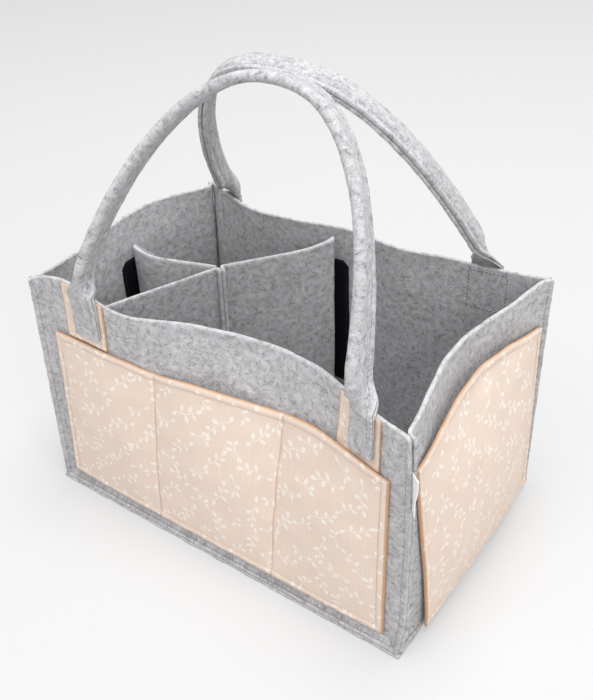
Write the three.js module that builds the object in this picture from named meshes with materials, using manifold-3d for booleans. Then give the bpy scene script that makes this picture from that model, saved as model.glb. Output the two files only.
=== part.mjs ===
// Diaper caddy: an open felt basket with fabric pockets, two carrying handles and a lift-out divider.
// Millimetres, +Z up. The origin is the centre of the base's underside, +X runs along the long front
// and +Y goes from the front to the back.
import * as THREE from 'three';
import Module from 'manifold-3d';

// Overall sizes, measured over the sewn edges
const LENGTH = 340;
const DEPTH = 220;
const HEIGHT = 200;

// Sheet goods
const FELT = 3;
const FABRIC = 1.2;
const LINED_FABRIC = 2.5;
const TAPE = 1.5;
const SEAM_ALLOWANCE = 8;
const SEWN_GAP = 0.3;

// How the soft walls stand: depth is the inward bow at the top edge, negative where it leans out,
// and a larger fade makes the bow run out sooner towards that side
const FRONT_BOW = { depth: 29, centre: 48, leftFade: 1.65, rightFade: 0.7, belly: 3 };
const RIGHT_BOW = { depth: 17.5, centre: 0, leftFade: 0.7, rightFade: 0.7, belly: 12 };
const BACK_BOW = { depth: 20, centre: 96, leftFade: 4.6, rightFade: 0.7, belly: 0 };
const LEFT_BOW = { depth: -22, centre: -33, leftFade: 0.7, rightFade: 0.7, belly: 6 };
const BOW_RISE = 1.6;
const BELLY_HEIGHT = 75;
const BELLY_REACH = 97;

// Pockets on the outside of the walls; each drop is counted down from the walls' top
const FRONT_POCKET = { margin: 8, lift: 14, drop: 43, arch: 0, bulges: [7, 9, 9], fullness: 0.7 };
const FRONT_POCKET_SEAMS = [-52, 58];
const SIDE_POCKET = { margin: 11, lift: 7, drop: 38, arch: 10, bulges: [9], fullness: 0.35 };

// Handles: each strap is a felt strip folded in half, flat on the wall at its feet
const HANDLE_WIDTH = 21;
const HANDLE_THICKNESS = 8.5;
const FRONT_HANDLE = { leftInset: 46, rightInset: 36, rise: 164.5, sway: 0, curl: 1.25 };
const BACK_HANDLE = { leftInset: 43, rightInset: 29, rise: 161.5, sway: -7, curl: 0.86 };
const HANDLE_TOP_SPACING = 30;
const HANDLE_TILT = THREE.MathUtils.degToRad(14);
const HANDLE_YAW = THREE.MathUtils.degToRad(15);
const ARCH_SPREAD = 0.8;
const ARCH_CLIMB = 1.32;
const TWIST_HEIGHT = 45;
const FOOT_WIDTH = 25;
const FOOT_THICKNESS = 5;
const FOOT_DROP = 33;
const PATCH_BORDER = 7;
const PATCH_DROP = 8;

// Divider: three felt legs sewn together in one upright ridge, each ending in a tab with hook tape
const JOIN_FROM_LEFT = 77;
const JOIN_FROM_FRONT = 117;
const JOIN_DROP = 21;
const RIDGE = 6;
const RIDGE_TURN = THREE.MathUtils.degToRad(-30);
const BACK_END_FROM_LEFT = 143;
const BACK_END_DROP = 7;
const BACK_KNEE_FROM_LEFT = 132;
const BACK_KNEE_FROM_BACK = 36;
const LEFT_END_FROM_FRONT = 107;
const LEFT_END_DROP = 24;
const LEFT_KNEE_FROM_LEFT = 14;
const LEFT_KNEE_FROM_FRONT = 101;
const FRONT_END_FROM_LEFT = 28;
const FRONT_END_DROP = 27;
const TAB_WIDTH = 22;
const TAB_SLANT = 18;
const TAB_BEND = 4;
const KNEE_BEND = 60;
const JOIN_BEND = 2.5;

// Hook and loop tape
const LOOP_WIDTH = 28;
const LOOP_LENGTH = 130;
const LOOP_CORNER = 5;
const BACK_LOOP_DROP = 31;
const BACK_LOOP_SET_BACK = 5;
const LEFT_LOOP_DROP = 37;
const FRONT_LOOP_DROP = 16;
const FRONT_LOOP_FROM_LEFT = 149;
const HOOK_LENGTH = 90;
const HOOK_INSET = 5;
const HOOK_TOP_INSET = 2;

// Blank tag in the front right seam
const TAG_LENGTH = 9;
const TAG_HEIGHT = 31;
const TAG_THICKNESS = 0.8;
const TAG_DROP = 26;

// Worked-out sizes
const COS_45 = Math.SQRT1_2;
const TAN_22 = Math.SQRT2 - 1;
const INNER_X = LENGTH / 2 - SEAM_ALLOWANCE * COS_45 - FELT;
const INNER_Y = DEPTH / 2 - SEAM_ALLOWANCE * COS_45 - FELT;
const SEAM_REACH = SEAM_ALLOWANCE * COS_45 + FELT;
const SEAM_SHIFT = SEWN_GAP * COS_45;
const FLOOR_TOP = FELT;
const WALL_BOTTOM = FLOOR_TOP + SEWN_GAP;

// Materials
const felt = new THREE.MeshStandardMaterial({ color: 0xb4b4b8, roughness: 0.95, metalness: 0 });
const cotton = new THREE.MeshStandardMaterial({ color: 0xecd6c4, roughness: 0.85, metalness: 0 });
const tape = new THREE.MeshStandardMaterial({ color: 0x0c0d10, roughness: 0.9, metalness: 0 });
const label = new THREE.MeshStandardMaterial({ color: 0xf4f4f2, roughness: 0.7, metalness: 0 });

const wasm = await Module();
wasm.setup();
const caddy = new THREE.Group();

function add(name, geometry, material) {
  const mesh = new THREE.Mesh(geometry, material);
  mesh.name = name;
  caddy.add(mesh);
  return mesh;
}

function smooth(share) {
  const t = THREE.MathUtils.clamp(share, 0, 1);
  return t * t * (3 - 2 * t);
}

function bell(distance) {
  return Math.abs(distance) < 1 ? 0.5 + 0.5 * Math.cos(Math.PI * distance) : 0;
}

// Closed body from points and triangles, turned so that its faces point out
function closedBody(points, triangles) {
  let volume = 0;
  for (let k = 0; k < triangles.length; k += 3) {
    const [a, b, c] = [points[triangles[k]], points[triangles[k + 1]], points[triangles[k + 2]]];
    volume += a.dot(b.clone().cross(c));
  }
  const faces = volume > 0 ? triangles : triangles.slice().reverse();
  const coordinates = points.flatMap((point) => point.toArray());
  const geometry = new THREE.BufferGeometry();
  geometry.setAttribute('position', new THREE.Float32BufferAttribute(coordinates, 3));
  geometry.setIndex(faces);
  geometry.computeVertexNormals();
  return geometry;
}

// Closed sheet between two grids of points
function sheetBody(columns, rows, nearPoint, farPoint) {
  const points = [];
  const triangles = [];
  const at = (side, i, j) => (side * rows + j) * columns + i;
  const quad = (a, b, c, d) => triangles.push(a, b, c, a, c, d);
  for (const pointAt of [nearPoint, farPoint]) {
    for (let j = 0; j < rows; j += 1) {
      for (let i = 0; i < columns; i += 1) points.push(pointAt(i, j));
    }
  }
  const right = columns - 1;
  const top = rows - 1;
  for (let j = 0; j < top; j += 1) {
    for (let i = 0; i < right; i += 1) {
      quad(at(0, i, j), at(0, i + 1, j), at(0, i + 1, j + 1), at(0, i, j + 1));
      quad(at(1, i, j), at(1, i, j + 1), at(1, i + 1, j + 1), at(1, i + 1, j));
    }
    quad(at(0, 0, j), at(0, 0, j + 1), at(1, 0, j + 1), at(1, 0, j));
    quad(at(0, right, j), at(1, right, j), at(1, right, j + 1), at(0, right, j + 1));
  }
  for (let i = 0; i < right; i += 1) {
    quad(at(0, i, 0), at(1, i, 0), at(1, i + 1, 0), at(0, i + 1, 0));
    quad(at(0, i, top), at(0, i + 1, top), at(1, i + 1, top), at(1, i, top));
  }
  return closedBody(points, triangles);
}

// Closed tube through rings of points
function tubeBody(rings) {
  const count = rings[0].length;
  const points = rings.flat();
  const triangles = [];
  for (let k = 0; k < rings.length - 1; k += 1) {
    for (let i = 0; i < count; i += 1) {
      const next = (i + 1) % count;
      const [a, b] = [k * count + i, k * count + next];
      triangles.push(a, b, b + count, a, b + count, a + count);
    }
  }
  const last = (rings.length - 1) * count;
  for (let i = 1; i < count - 1; i += 1) {
    triangles.push(0, i + 1, i);
    triangles.push(last, last + i, last + i + 1);
  }
  return closedBody(points, triangles);
}

function toManifold(geometry) {
  const vertProperties = geometry.getAttribute('position').array;
  const triVerts = new Uint32Array(geometry.getIndex().array);
  return new wasm.Manifold(new wasm.Mesh({ numProp: 3, vertProperties, triVerts }));
}

function joined(first, second) {
  const mesh = toManifold(first).add(toManifold(second)).getMesh();
  const geometry = new THREE.BufferGeometry();
  geometry.setAttribute('position', new THREE.BufferAttribute(mesh.vertProperties.slice(), 3));
  geometry.setIndex(Array.from(mesh.triVerts));
  geometry.computeVertexNormals();
  return geometry;
}

// Each wall is drawn in its own outline: s runs to the right seen from outside, d out from the centre
const walls = {
  front: { half: INNER_X, face: INNER_Y, bow: FRONT_BOW, place: (s, d, z) => new THREE.Vector3(s, -d, z) },
  right: { half: INNER_Y, face: INNER_X, bow: RIGHT_BOW, place: (s, d, z) => new THREE.Vector3(d, s, z) },
  back: { half: INNER_X, face: INNER_Y, bow: BACK_BOW, place: (s, d, z) => new THREE.Vector3(-s, d, z) },
  left: { half: INNER_Y, face: INNER_X, bow: LEFT_BOW, place: (s, d, z) => new THREE.Vector3(-d, -s, z) },
};

function spread(low, high, steps) {
  return Array.from({ length: steps + 1 }, (_, k) => low + (high - low) * k / steps);
}

// Grid lines of a wall, which the pieces sewn on it share
const COLUMN_SPACING = 11;
const WALL_ROWS = 9;
const wallHeights = spread(WALL_BOTTOM, HEIGHT, WALL_ROWS);

function softEdge(wall) {
  return wall.half - FELT;
}

function wallColumns(wall) {
  const edge = softEdge(wall);
  return spread(-edge, edge, Math.round(2 * edge / COLUMN_SPACING));
}

function linesWithin(lines, marks) {
  const [low, high] = [Math.min(...marks), Math.max(...marks)];
  const inside = lines.filter((line) => line > low && line < high);
  return [...new Set([...marks, ...inside])].sort((a, b) => a - b);
}

// Which two grid lines a place lies between, and how far it is from the first to the second
function gridPlace(lines, value) {
  const last = lines.length - 1;
  const place = THREE.MathUtils.clamp((value - lines[0]) / (lines[1] - lines[0]), 0, last);
  const index = Math.min(Math.floor(place), last - 1);
  return { index, share: place - index };
}

// The bow runs out at the wall's ends, and the belly swells near the base
function softBow(wall, s, z) {
  const { depth, centre, leftFade, rightFade, belly } = wall.bow;
  const edge = softEdge(wall);
  const [room, fade] = s < centre ? [edge + centre, leftFade] : [edge - centre, rightFade];
  const dip = bell((s - centre) / room) ** fade;
  const lean = depth * dip * (z / HEIGHT) ** BOW_RISE;
  const fall = Math.max(0, 1 - ((z - BELLY_HEIGHT) / BELLY_REACH) ** 2);
  return lean - belly * fall * (1 - (s / edge) ** 4);
}

// How far the wall's inner face stands inward of its straight line, flat between its grid lines
function inwardBow(wall, s, z) {
  const columns = wallColumns(wall);
  const across = gridPlace(columns, s);
  const up = gridPlace(wallHeights, z);
  const [low, high] = [0, 1].map((row) => {
    const [left, right] = [0, 1].map((column) => {
      return softBow(wall, columns[across.index + column], wallHeights[up.index + row]);
    });
    return THREE.MathUtils.lerp(left, right, across.share);
  });
  return THREE.MathUtils.lerp(low, high, up.share);
}

// A point on a wall, the offset counted outward from its inner face
function wallPoint(wall, s, z, offset) {
  return wall.place(s, wall.face - inwardBow(wall, s, z) + offset, z);
}

// Wall panel with its two upright seam edges and the foot strip that is sewn to the base
const SEAM_JOIN = 0.1;

function wallSection(wall, z, offset) {
  const tip = SEAM_REACH - FELT * COS_45;
  const tipAlong = wall.half + tip - SEAM_SHIFT - offset * COS_45;
  const tipOut = wall.face + tip + offset * COS_45;
  const bend = wall.half - SEAM_SHIFT - offset * TAN_22;
  const along = [-bend, ...wallColumns(wall), bend];
  return [
    wall.place(-tipAlong, tipOut, z),
    ...along.map((s) => wallPoint(wall, s, z, offset)),
    wall.place(tipAlong, tipOut, z),
  ];
}

function wallPanel(wall) {
  const outer = wallHeights.map((z) => wallSection(wall, z, FELT));
  const inner = wallHeights.map((z) => wallSection(wall, z, 0));
  const sheet = sheetBody(outer[0].length, outer.length, (i, j) => outer[j][i], (i, j) => inner[j][i]);
  const depths = [FELT / 2, SEAM_REACH];
  const footPoint = (i, j, z) => {
    const along = wall.half - SEAM_SHIFT - SEAM_JOIN + depths[j];
    return wall.place(i === 0 ? -along : along, wall.face + depths[j], z);
  };
  const foot = sheetBody(
    2,
    2,
    (i, j) => footPoint(i, j, WALL_BOTTOM + FELT),
    (i, j) => footPoint(i, j, WALL_BOTTOM),
  );
  return joined(sheet, foot);
}

const base = new THREE.BoxGeometry(LENGTH, DEPTH, FELT);
add('base_panel', base, felt).position.z = FELT / 2;
for (const [side, wall] of Object.entries(walls)) add(`${side}_panel`, wallPanel(wall), felt);

// Flat piece sewn on a wall: it lies between two offsets and follows the wall's bow
function wallPiece(wall, along, heightsAt, offsetAt, thickness) {
  const rows = heightsAt(along[0]).length;
  const pointAt = (extra) => (i, j) => {
    const z = heightsAt(along[i])[j];
    return wallPoint(wall, along[i], z, offsetAt(along[i], z) + extra);
  };
  return sheetBody(along.length, rows, pointAt(thickness), pointAt(0));
}

// Pockets: sewn down at the sides, the bottom and the cell seams, open at the top
function pocket(wall, size, seams) {
  const edge = wall.half - size.margin;
  const marks = [-edge, ...seams, edge];
  const along = linesWithin(wallColumns(wall), marks);
  const side = HEIGHT - size.drop;
  const rows = linesWithin(wallHeights, [size.lift, side]).slice(0, -1);
  const topAt = (s) => side + size.arch * (1 - (s / edge) ** 2);
  const heightsAt = (s) => [...rows, topAt(s)];
  const offsetAt = (s, z) => {
    const cell = Math.max(1, marks.findIndex((mark) => s <= mark));
    const across = (s - marks[cell - 1]) / (marks[cell] - marks[cell - 1]);
    const up = (z - size.lift) / (topAt(s) - size.lift);
    return FELT + SEWN_GAP + size.bulges[cell - 1] * 4 * across * (1 - across) * up ** size.fullness;
  };
  return wallPiece(wall, along, heightsAt, offsetAt, LINED_FABRIC);
}

add('front_pocket', pocket(walls.front, FRONT_POCKET, FRONT_POCKET_SEAMS), cotton);
for (const side of ['right', 'left']) {
  add(`${side}_pocket`, pocket(walls[side], SIDE_POCKET, []), cotton);
}

// Handles, their feet and the fabric patches under the feet
const HANDLE_STEPS = 56;
const FOOT_CROWDING = 0.6;
const PATCH_OFFSET = FELT + SEWN_GAP;
const FOOT_OFFSET = PATCH_OFFSET + FABRIC + SEWN_GAP;
const HINGE_GAP = SEWN_GAP;

function footPatch(wall, centre) {
  const reach = FOOT_WIDTH / 2 + PATCH_BORDER;
  const along = linesWithin(wallColumns(wall), [centre - reach, centre + reach]);
  const heightsAt = () => linesWithin(wallHeights, [HEIGHT - FOOT_DROP - PATCH_DROP, HEIGHT]);
  return wallPiece(wall, along, heightsAt, () => PATCH_OFFSET, FABRIC);
}

function footTab(wall, centre) {
  const along = linesWithin(wallColumns(wall), [centre - FOOT_WIDTH / 2, centre + FOOT_WIDTH / 2]);
  const heightsAt = () => linesWithin(wallHeights, [HEIGHT - FOOT_DROP, HEIGHT]);
  return wallPiece(wall, along, heightsAt, () => FOOT_OFFSET, FOOT_THICKNESS);
}

// Outline of the folded strip: a round fold at one edge and two cut edges at the other
function strapSection(width, thickness) {
  const half = width / 2;
  const loft = thickness / 2;
  return [
    [half, -loft],
    [half, loft],
    [loft - half, loft],
    [loft * (1 - COS_45) - half, loft * COS_45],
    [-half, 0],
    [loft * (1 - COS_45) - half, -loft * COS_45],
    [loft - half, -loft],
  ];
}

// Direction into the caddy, square to the wall at a foot
function footInward(wall, s) {
  const step = 1;
  const run = wallPoint(wall, s + step, HEIGHT, 0).sub(wallPoint(wall, s - step, HEIGHT, 0));
  return new THREE.Vector3(0, 0, 1).cross(run).normalize();
}

function handleArch(wall, size) {
  const feet = [size.leftInset - wall.half, wall.half - size.rightInset];
  const start = wallPoint(wall, feet[0], HEIGHT, FOOT_OFFSET + FOOT_THICKNESS / 2);
  const end = wallPoint(wall, feet[1], HEIGHT, FOOT_OFFSET + FOOT_THICKNESS / 2);
  const middle = start.clone().lerp(end, 0.5);
  const inside = -Math.sign(middle.y);
  const reach = -inside * HANDLE_TOP_SPACING / 2 - middle.y;
  const up = new THREE.Vector3(0, 0, 1);
  const lineAt = (angle) => {
    const climb = Math.max(0, Math.sin(angle)) ** ARCH_CLIMB;
    const across = Math.sign(Math.cos(angle)) * Math.abs(Math.cos(angle)) ** ARCH_SPREAD;
    const point = start.clone().lerp(end, 0.5 - 0.5 * across);
    const shift = new THREE.Vector3(size.sway * climb, reach * climb ** size.curl, size.rise * climb);
    return point.add(shift).addScaledVector(up, HINGE_GAP);
  };
  const tiltedIn = wall.place(-Math.sin(HANDLE_YAW), -Math.cos(HANDLE_YAW), -Math.tan(HANDLE_TILT));
  tiltedIn.normalize();
  const rings = [];
  const step = 0.01;
  for (let k = 0; k <= HANDLE_STEPS; k += 1) {
    const share = k / HANDLE_STEPS;
    const angle = Math.PI * share - FOOT_CROWDING * Math.sin(2 * Math.PI * share) / 2;
    const rising = k < HANDLE_STEPS / 2;
    const point = lineAt(angle);
    const free = smooth((point.z - HEIGHT - HINGE_GAP) / TWIST_HEIGHT);
    const ahead = lineAt(angle + step).sub(lineAt(angle - step)).normalize();
    const along = up.clone().multiplyScalar(rising ? 1 : -1).lerp(ahead, free).normalize();
    const squareIn = footInward(wall, rising ? feet[0] : feet[1]);
    const inward = squareIn.lerp(tiltedIn, free);
    inward.addScaledVector(along, -inward.dot(along)).normalize();
    const outward = along.clone().cross(inward);
    const turn = (1 - free) * Math.PI / 2;
    const wide = inward.clone().multiplyScalar(Math.cos(turn)).addScaledVector(outward, Math.sin(turn));
    const thick = outward.clone().multiplyScalar(Math.cos(turn)).addScaledVector(inward, -Math.sin(turn));
    const width = THREE.MathUtils.lerp(FOOT_WIDTH, HANDLE_WIDTH, free);
    const loft = THREE.MathUtils.lerp(FOOT_THICKNESS, HANDLE_THICKNESS, free);
    const ring = strapSection(width, loft).map(
      ([w, t]) => point.clone().addScaledVector(wide, w).addScaledVector(thick, t),
    );
    rings.push(ring);
  }
  return tubeBody(rings);
}

for (const [side, size] of [['front', FRONT_HANDLE], ['back', BACK_HANDLE]]) {
  const wall = walls[side];
  const feet = { left: size.leftInset - wall.half, right: wall.half - size.rightInset };
  for (const [hand, centre] of Object.entries(feet)) {
    add(`${side}_${hand}_patch`, footPatch(wall, centre), cotton);
    add(`${side}_${hand}_tab`, footTab(wall, centre), felt);
  }
  add(`${side}_handle`, handleArch(wall, size), felt);
}

// Loop tape sewn on the inside of the walls, with its upper corners cut off
function loopStrip(wall, centre, drop) {
  const top = HEIGHT - drop;
  const half = LOOP_WIDTH / 2;
  const marks = [-half, LOOP_CORNER - half, half - LOOP_CORNER, half].map((reach) => centre + reach);
  const along = linesWithin(wallColumns(wall), marks);
  const topAt = (s) => top - (Math.abs(s - centre) > half - LOOP_CORNER / 2 ? LOOP_CORNER : 0);
  const rows = linesWithin(wallHeights, [top - LOOP_LENGTH, top - LOOP_CORNER]).slice(0, -1);
  const heightsAt = (s) => [...rows, topAt(s)];
  return wallPiece(wall, along, heightsAt, () => -SEWN_GAP - TAPE, TAPE);
}

const backEndX = BACK_END_FROM_LEFT - INNER_X;
const leftEndY = LEFT_END_FROM_FRONT - INNER_Y;
const frontEndX = FRONT_END_FROM_LEFT - INNER_X;
add('back_loop_strip', loopStrip(walls.back, BACK_LOOP_SET_BACK - backEndX, BACK_LOOP_DROP), tape);
add('left_loop_strip', loopStrip(walls.left, -leftEndY, LEFT_LOOP_DROP), tape);
add('front_loop_strip', loopStrip(walls.front, FRONT_LOOP_FROM_LEFT - INNER_X, FRONT_LOOP_DROP), tape);

// Upright sheet that follows a plan path, which may change with height
const SHEET_ROWS = 6;
const BEND_ROOM = 0.45;

// The path's corners are rounded, each within its share of the straight stretches beside it
function roundedPath(points, radii, steps) {
  const path = [points[0]];
  for (let k = 1; k < points.length - 1; k += 1) {
    const before = points[k - 1].clone().sub(points[k]);
    const after = points[k + 1].clone().sub(points[k]);
    const room = BEND_ROOM * Math.min(before.length(), after.length());
    before.normalize();
    after.normalize();
    const opening = Math.acos(THREE.MathUtils.clamp(before.dot(after), -1, 1));
    const reach = Math.min(radii[k - 1] / Math.tan(opening / 2), room);
    const curve = new THREE.QuadraticBezierCurve(
      points[k].clone().addScaledVector(before, reach),
      points[k],
      points[k].clone().addScaledVector(after, reach),
    );
    path.push(...curve.getPoints(steps));
  }
  path.push(points[points.length - 1]);
  return path;
}

// The path moved sideways, to the right of its direction
function sidePath(path, distance) {
  return path.map((point, k) => {
    const before = point.clone().sub(path[Math.max(k - 1, 0)]).normalize();
    const after = path[Math.min(k + 1, path.length - 1)].clone().sub(point).normalize();
    const along = before.clone().add(after).normalize();
    const width = distance / Math.max(k > 0 ? along.dot(before) : along.dot(after), COS_45);
    return new THREE.Vector2(point.x + along.y * width, point.y - along.x * width);
  });
}

function uprightSheet(pathAt, thickness, low, topAt) {
  const count = pathAt(low).length;
  const sideAt = (distance) => (i, j) => {
    const z = low + (topAt(i / (count - 1)) - low) * j / SHEET_ROWS;
    const point = sidePath(pathAt(z), distance)[i];
    return new THREE.Vector3(point.x, point.y, z);
  };
  return sheetBody(count, SHEET_ROWS + 1, sideAt(thickness / 2), sideAt(-thickness / 2));
}

const join = new THREE.Vector2(JOIN_FROM_LEFT - INNER_X, JOIN_FROM_FRONT - INNER_Y);
const ridge = new THREE.Vector2(Math.cos(RIDGE_TURN), Math.sin(RIDGE_TURN));
const ridgeSide = new THREE.Vector2(-ridge.y, ridge.x);
const TAPE_STACK = 3 * SEWN_GAP + 2 * TAPE + FELT / 2;
const FREE_STACK = 2 * SEWN_GAP + TAPE + FELT / 2;
const BEND_STEPS = 4;

// Where a tab stands off a wall's inner face, at a height
function besideWall(wall, s, z, stack) {
  const point = wallPoint(wall, s, z, -stack);
  return new THREE.Vector2(point.x, point.y);
}

// The back tab stands upright along the wall's top edge
function backTab() {
  const ends = [backEndX, backEndX - TAB_WIDTH];
  return ends.map((x) => besideWall(walls.back, -x, HEIGHT, TAPE_STACK));
}

function leftTab(z) {
  const ends = [leftEndY, leftEndY + TAB_WIDTH];
  return ends.map((y) => besideWall(walls.left, -y, z, TAPE_STACK));
}

// The front tab stands upright too, clear of the wall's lower swell and its bowed top
function frontTab() {
  const ends = [frontEndX, frontEndX - TAB_WIDTH];
  const line = Math.max(...ends.map((x) => besideWall(walls.front, x, HEIGHT, FREE_STACK).y));
  return ends.map((x) => new THREE.Vector2(x, line));
}

function ridgeStart(side) {
  const root = join.clone().addScaledVector(ridgeSide, side * (FELT + SEWN_GAP) / 2);
  return [root.clone().addScaledVector(ridge, RIDGE), root];
}

// A leg's top runs straight to its tab, which is cut on a slant
const legTop = (endDrop) => (share) => {
  const drop = THREE.MathUtils.lerp(JOIN_DROP, endDrop, share);
  return HEIGHT - drop - (share < 1 ? 0 : TAB_SLANT);
};
const backKnee = new THREE.Vector2(BACK_KNEE_FROM_LEFT - INNER_X, INNER_Y - BACK_KNEE_FROM_BACK);
const leftKnee = new THREE.Vector2(LEFT_KNEE_FROM_LEFT - INNER_X, LEFT_KNEE_FROM_FRONT - INNER_Y);
const backLine = [...ridgeStart(1), backKnee, ...backTab()];
const backPath = roundedPath(backLine, [JOIN_BEND, KNEE_BEND, TAB_BEND], BEND_STEPS);
const frontPath = roundedPath([...ridgeStart(-1), ...frontTab()], [JOIN_BEND, TAB_BEND], BEND_STEPS);
const leftPathAt = (z) => {
  const start = join.clone().addScaledVector(leftKnee.clone().sub(join).normalize(), FELT + 2 * SEWN_GAP);
  return roundedPath([start, leftKnee, ...leftTab(z)], [KNEE_BEND, TAB_BEND], BEND_STEPS);
};
add('back_divider', uprightSheet(() => backPath, FELT, WALL_BOTTOM, legTop(BACK_END_DROP)), felt);
add('front_divider', uprightSheet(() => frontPath, FELT, WALL_BOTTOM, legTop(FRONT_END_DROP)), felt);
add('left_divider', uprightSheet(leftPathAt, FELT, WALL_BOTTOM, legTop(LEFT_END_DROP)), felt);

// Hook tape on the wall side of each tab, below its slanted top
function hookStrip(tabAt, side, endDrop) {
  const top = HEIGHT - endDrop - TAB_SLANT - HOOK_TOP_INSET;
  const pathAt = (z) => {
    const [bend, end] = tabAt(z);
    const start = bend.clone().lerp(end, HOOK_INSET / TAB_WIDTH);
    return sidePath([start, end], side * (FELT / 2 + SEWN_GAP + TAPE / 2));
  };
  return uprightSheet(pathAt, TAPE, top - HOOK_LENGTH, () => top);
}

add('back_hook_strip', hookStrip(backTab, 1, BACK_END_DROP), tape);
add('left_hook_strip', hookStrip(leftTab, -1, LEFT_END_DROP), tape);
add('front_hook_strip', hookStrip(frontTab, -1, FRONT_END_DROP), tape);

// Tag held in the front right seam
const seamTip = (SEAM_REACH - FELT * COS_45) * Math.SQRT2;
const tag = new THREE.Group();
tag.position.set(INNER_X, -INNER_Y, HEIGHT - TAG_DROP - TAG_HEIGHT / 2);
tag.rotation.z = -Math.PI / 4;
const tagBody = add('seam_tag', new THREE.BoxGeometry(TAG_LENGTH, TAG_THICKNESS, TAG_HEIGHT), label);
tagBody.position.x = seamTip + SEWN_GAP + TAG_LENGTH / 2;
tag.add(tagBody);
caddy.add(tag);

export default caddy;
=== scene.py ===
"""Looks of the diaper caddy: felt walls and straps, printed cotton pockets and a loose felt divider.

Pieces are drawn in millimetres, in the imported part's own frame, and stored in metres.
"""
import math
from collections import namedtuple

import bmesh
import bpy
import numpy as np
from mathutils import Matrix, Vector


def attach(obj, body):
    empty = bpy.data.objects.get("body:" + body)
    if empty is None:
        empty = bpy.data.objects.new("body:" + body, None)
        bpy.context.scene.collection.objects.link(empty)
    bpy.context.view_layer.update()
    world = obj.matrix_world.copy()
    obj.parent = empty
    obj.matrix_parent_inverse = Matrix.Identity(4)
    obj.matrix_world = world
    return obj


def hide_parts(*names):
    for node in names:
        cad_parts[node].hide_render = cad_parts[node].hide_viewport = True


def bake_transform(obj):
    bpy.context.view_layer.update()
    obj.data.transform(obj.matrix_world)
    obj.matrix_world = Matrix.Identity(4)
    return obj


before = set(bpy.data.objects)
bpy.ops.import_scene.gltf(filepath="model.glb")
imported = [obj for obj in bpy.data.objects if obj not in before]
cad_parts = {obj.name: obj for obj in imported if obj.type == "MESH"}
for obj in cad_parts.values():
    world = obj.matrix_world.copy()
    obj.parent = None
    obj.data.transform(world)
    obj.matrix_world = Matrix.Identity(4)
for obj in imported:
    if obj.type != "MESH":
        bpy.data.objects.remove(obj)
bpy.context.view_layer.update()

MM = 0.001
UP = np.array([0.0, 0.0, 1.0])
COS_45 = math.sqrt(0.5)
FULL_TURN = 2 * math.pi
CLOTH_MAP = "cloth"
EDGE_NAME = "edge_distance"

# Edge distance of cloth that has no cut edge near it
FAR_IN = 9.0

# Sizes of the part, as its source has them
LENGTH = 340.0
DEPTH = 220.0
HEIGHT = 200.0
FELT = 3.0
FABRIC = 1.2
TAPE = 1.5
SEAM_ALLOWANCE = 8.0
SEWN_GAP = 0.3
BOW_RISE = 1.6
BELLY_HEIGHT = 75.0
BELLY_REACH = 97.0
SEAM_REACH = SEAM_ALLOWANCE * COS_45 + FELT
INNER_X = LENGTH / 2 - SEAM_ALLOWANCE * COS_45 - FELT
INNER_Y = DEPTH / 2 - SEAM_ALLOWANCE * COS_45 - FELT
WALL_BOTTOM = FELT + SEWN_GAP

HANDLE_WIDTH = 21.0
HANDLE_THICKNESS = 8.5
HANDLE_TOP_SPACING = 30.0
HANDLE_TILT = math.radians(14)
HANDLE_YAW = math.radians(15)
ARCH_CLIMB = 1.32
FOOT_WIDTH = 25.0
FOOT_THICKNESS = 5.0
FOOT_DROP = 33.0
PATCH_BORDER = 7.0
PATCH_DROP = 8.0
PATCH_OFFSET = FELT + SEWN_GAP
FOOT_OFFSET = PATCH_OFFSET + FABRIC + SEWN_GAP


def smooth(share):
    t = np.clip(share, 0.0, 1.0)
    return t * t * (3 - 2 * t)


def bell(distance):
    return np.where(np.abs(distance) < 1, 0.5 + 0.5 * np.cos(np.pi * distance), 0.0)


def dent(distance, width, depth):
    """A soft groove or rise: how deep it is at a distance from its middle."""
    return depth * np.exp(-(distance / width) ** 2)


def rounded(edge, middle, reach):
    """A half-round roll, 1 high over its middle line."""
    return np.sqrt(np.maximum(0.0, 1 - ((edge - middle) / reach) ** 2))


def unit(vectors):
    return vectors / np.maximum(np.linalg.norm(vectors, axis=-1, keepdims=True), 1e-9)


def running(points):
    """The length along a line of points, up to each of them."""
    return np.concatenate([[0.0], np.cumsum(np.linalg.norm(np.diff(points, axis=0), axis=1))])


def nearest(values, at):
    return int(np.argmin(np.abs(values - at)))


def ripple(seed, reach, amount, count=7):
    """A slow random swell over a sheet: a few waves of about the given length, in millimetres."""
    dice = np.random.default_rng(seed)
    turns = dice.uniform(0, FULL_TURN, count)
    pace = FULL_TURN / (reach * dice.uniform(0.6, 1.7, count))
    shift = dice.uniform(0, FULL_TURN, count)

    def at(s, z):
        waves = [np.sin(k * (s * np.cos(a) + z * np.sin(a)) + b) for a, k, b in zip(turns, pace, shift)]
        return amount * sum(waves) / math.sqrt(len(waves))

    return at


# Node formulas


def fill(node, entries):
    """Sets each entry of a node to its value, or links it to its socket."""
    for name, value in entries.items():
        source = value.socket if isinstance(value, Num) else value
        if isinstance(source, bpy.types.NodeSocket):
            node.id_data.links.new(source, node.inputs[name])
        else:
            node.inputs[name].default_value = source
    return node


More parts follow.
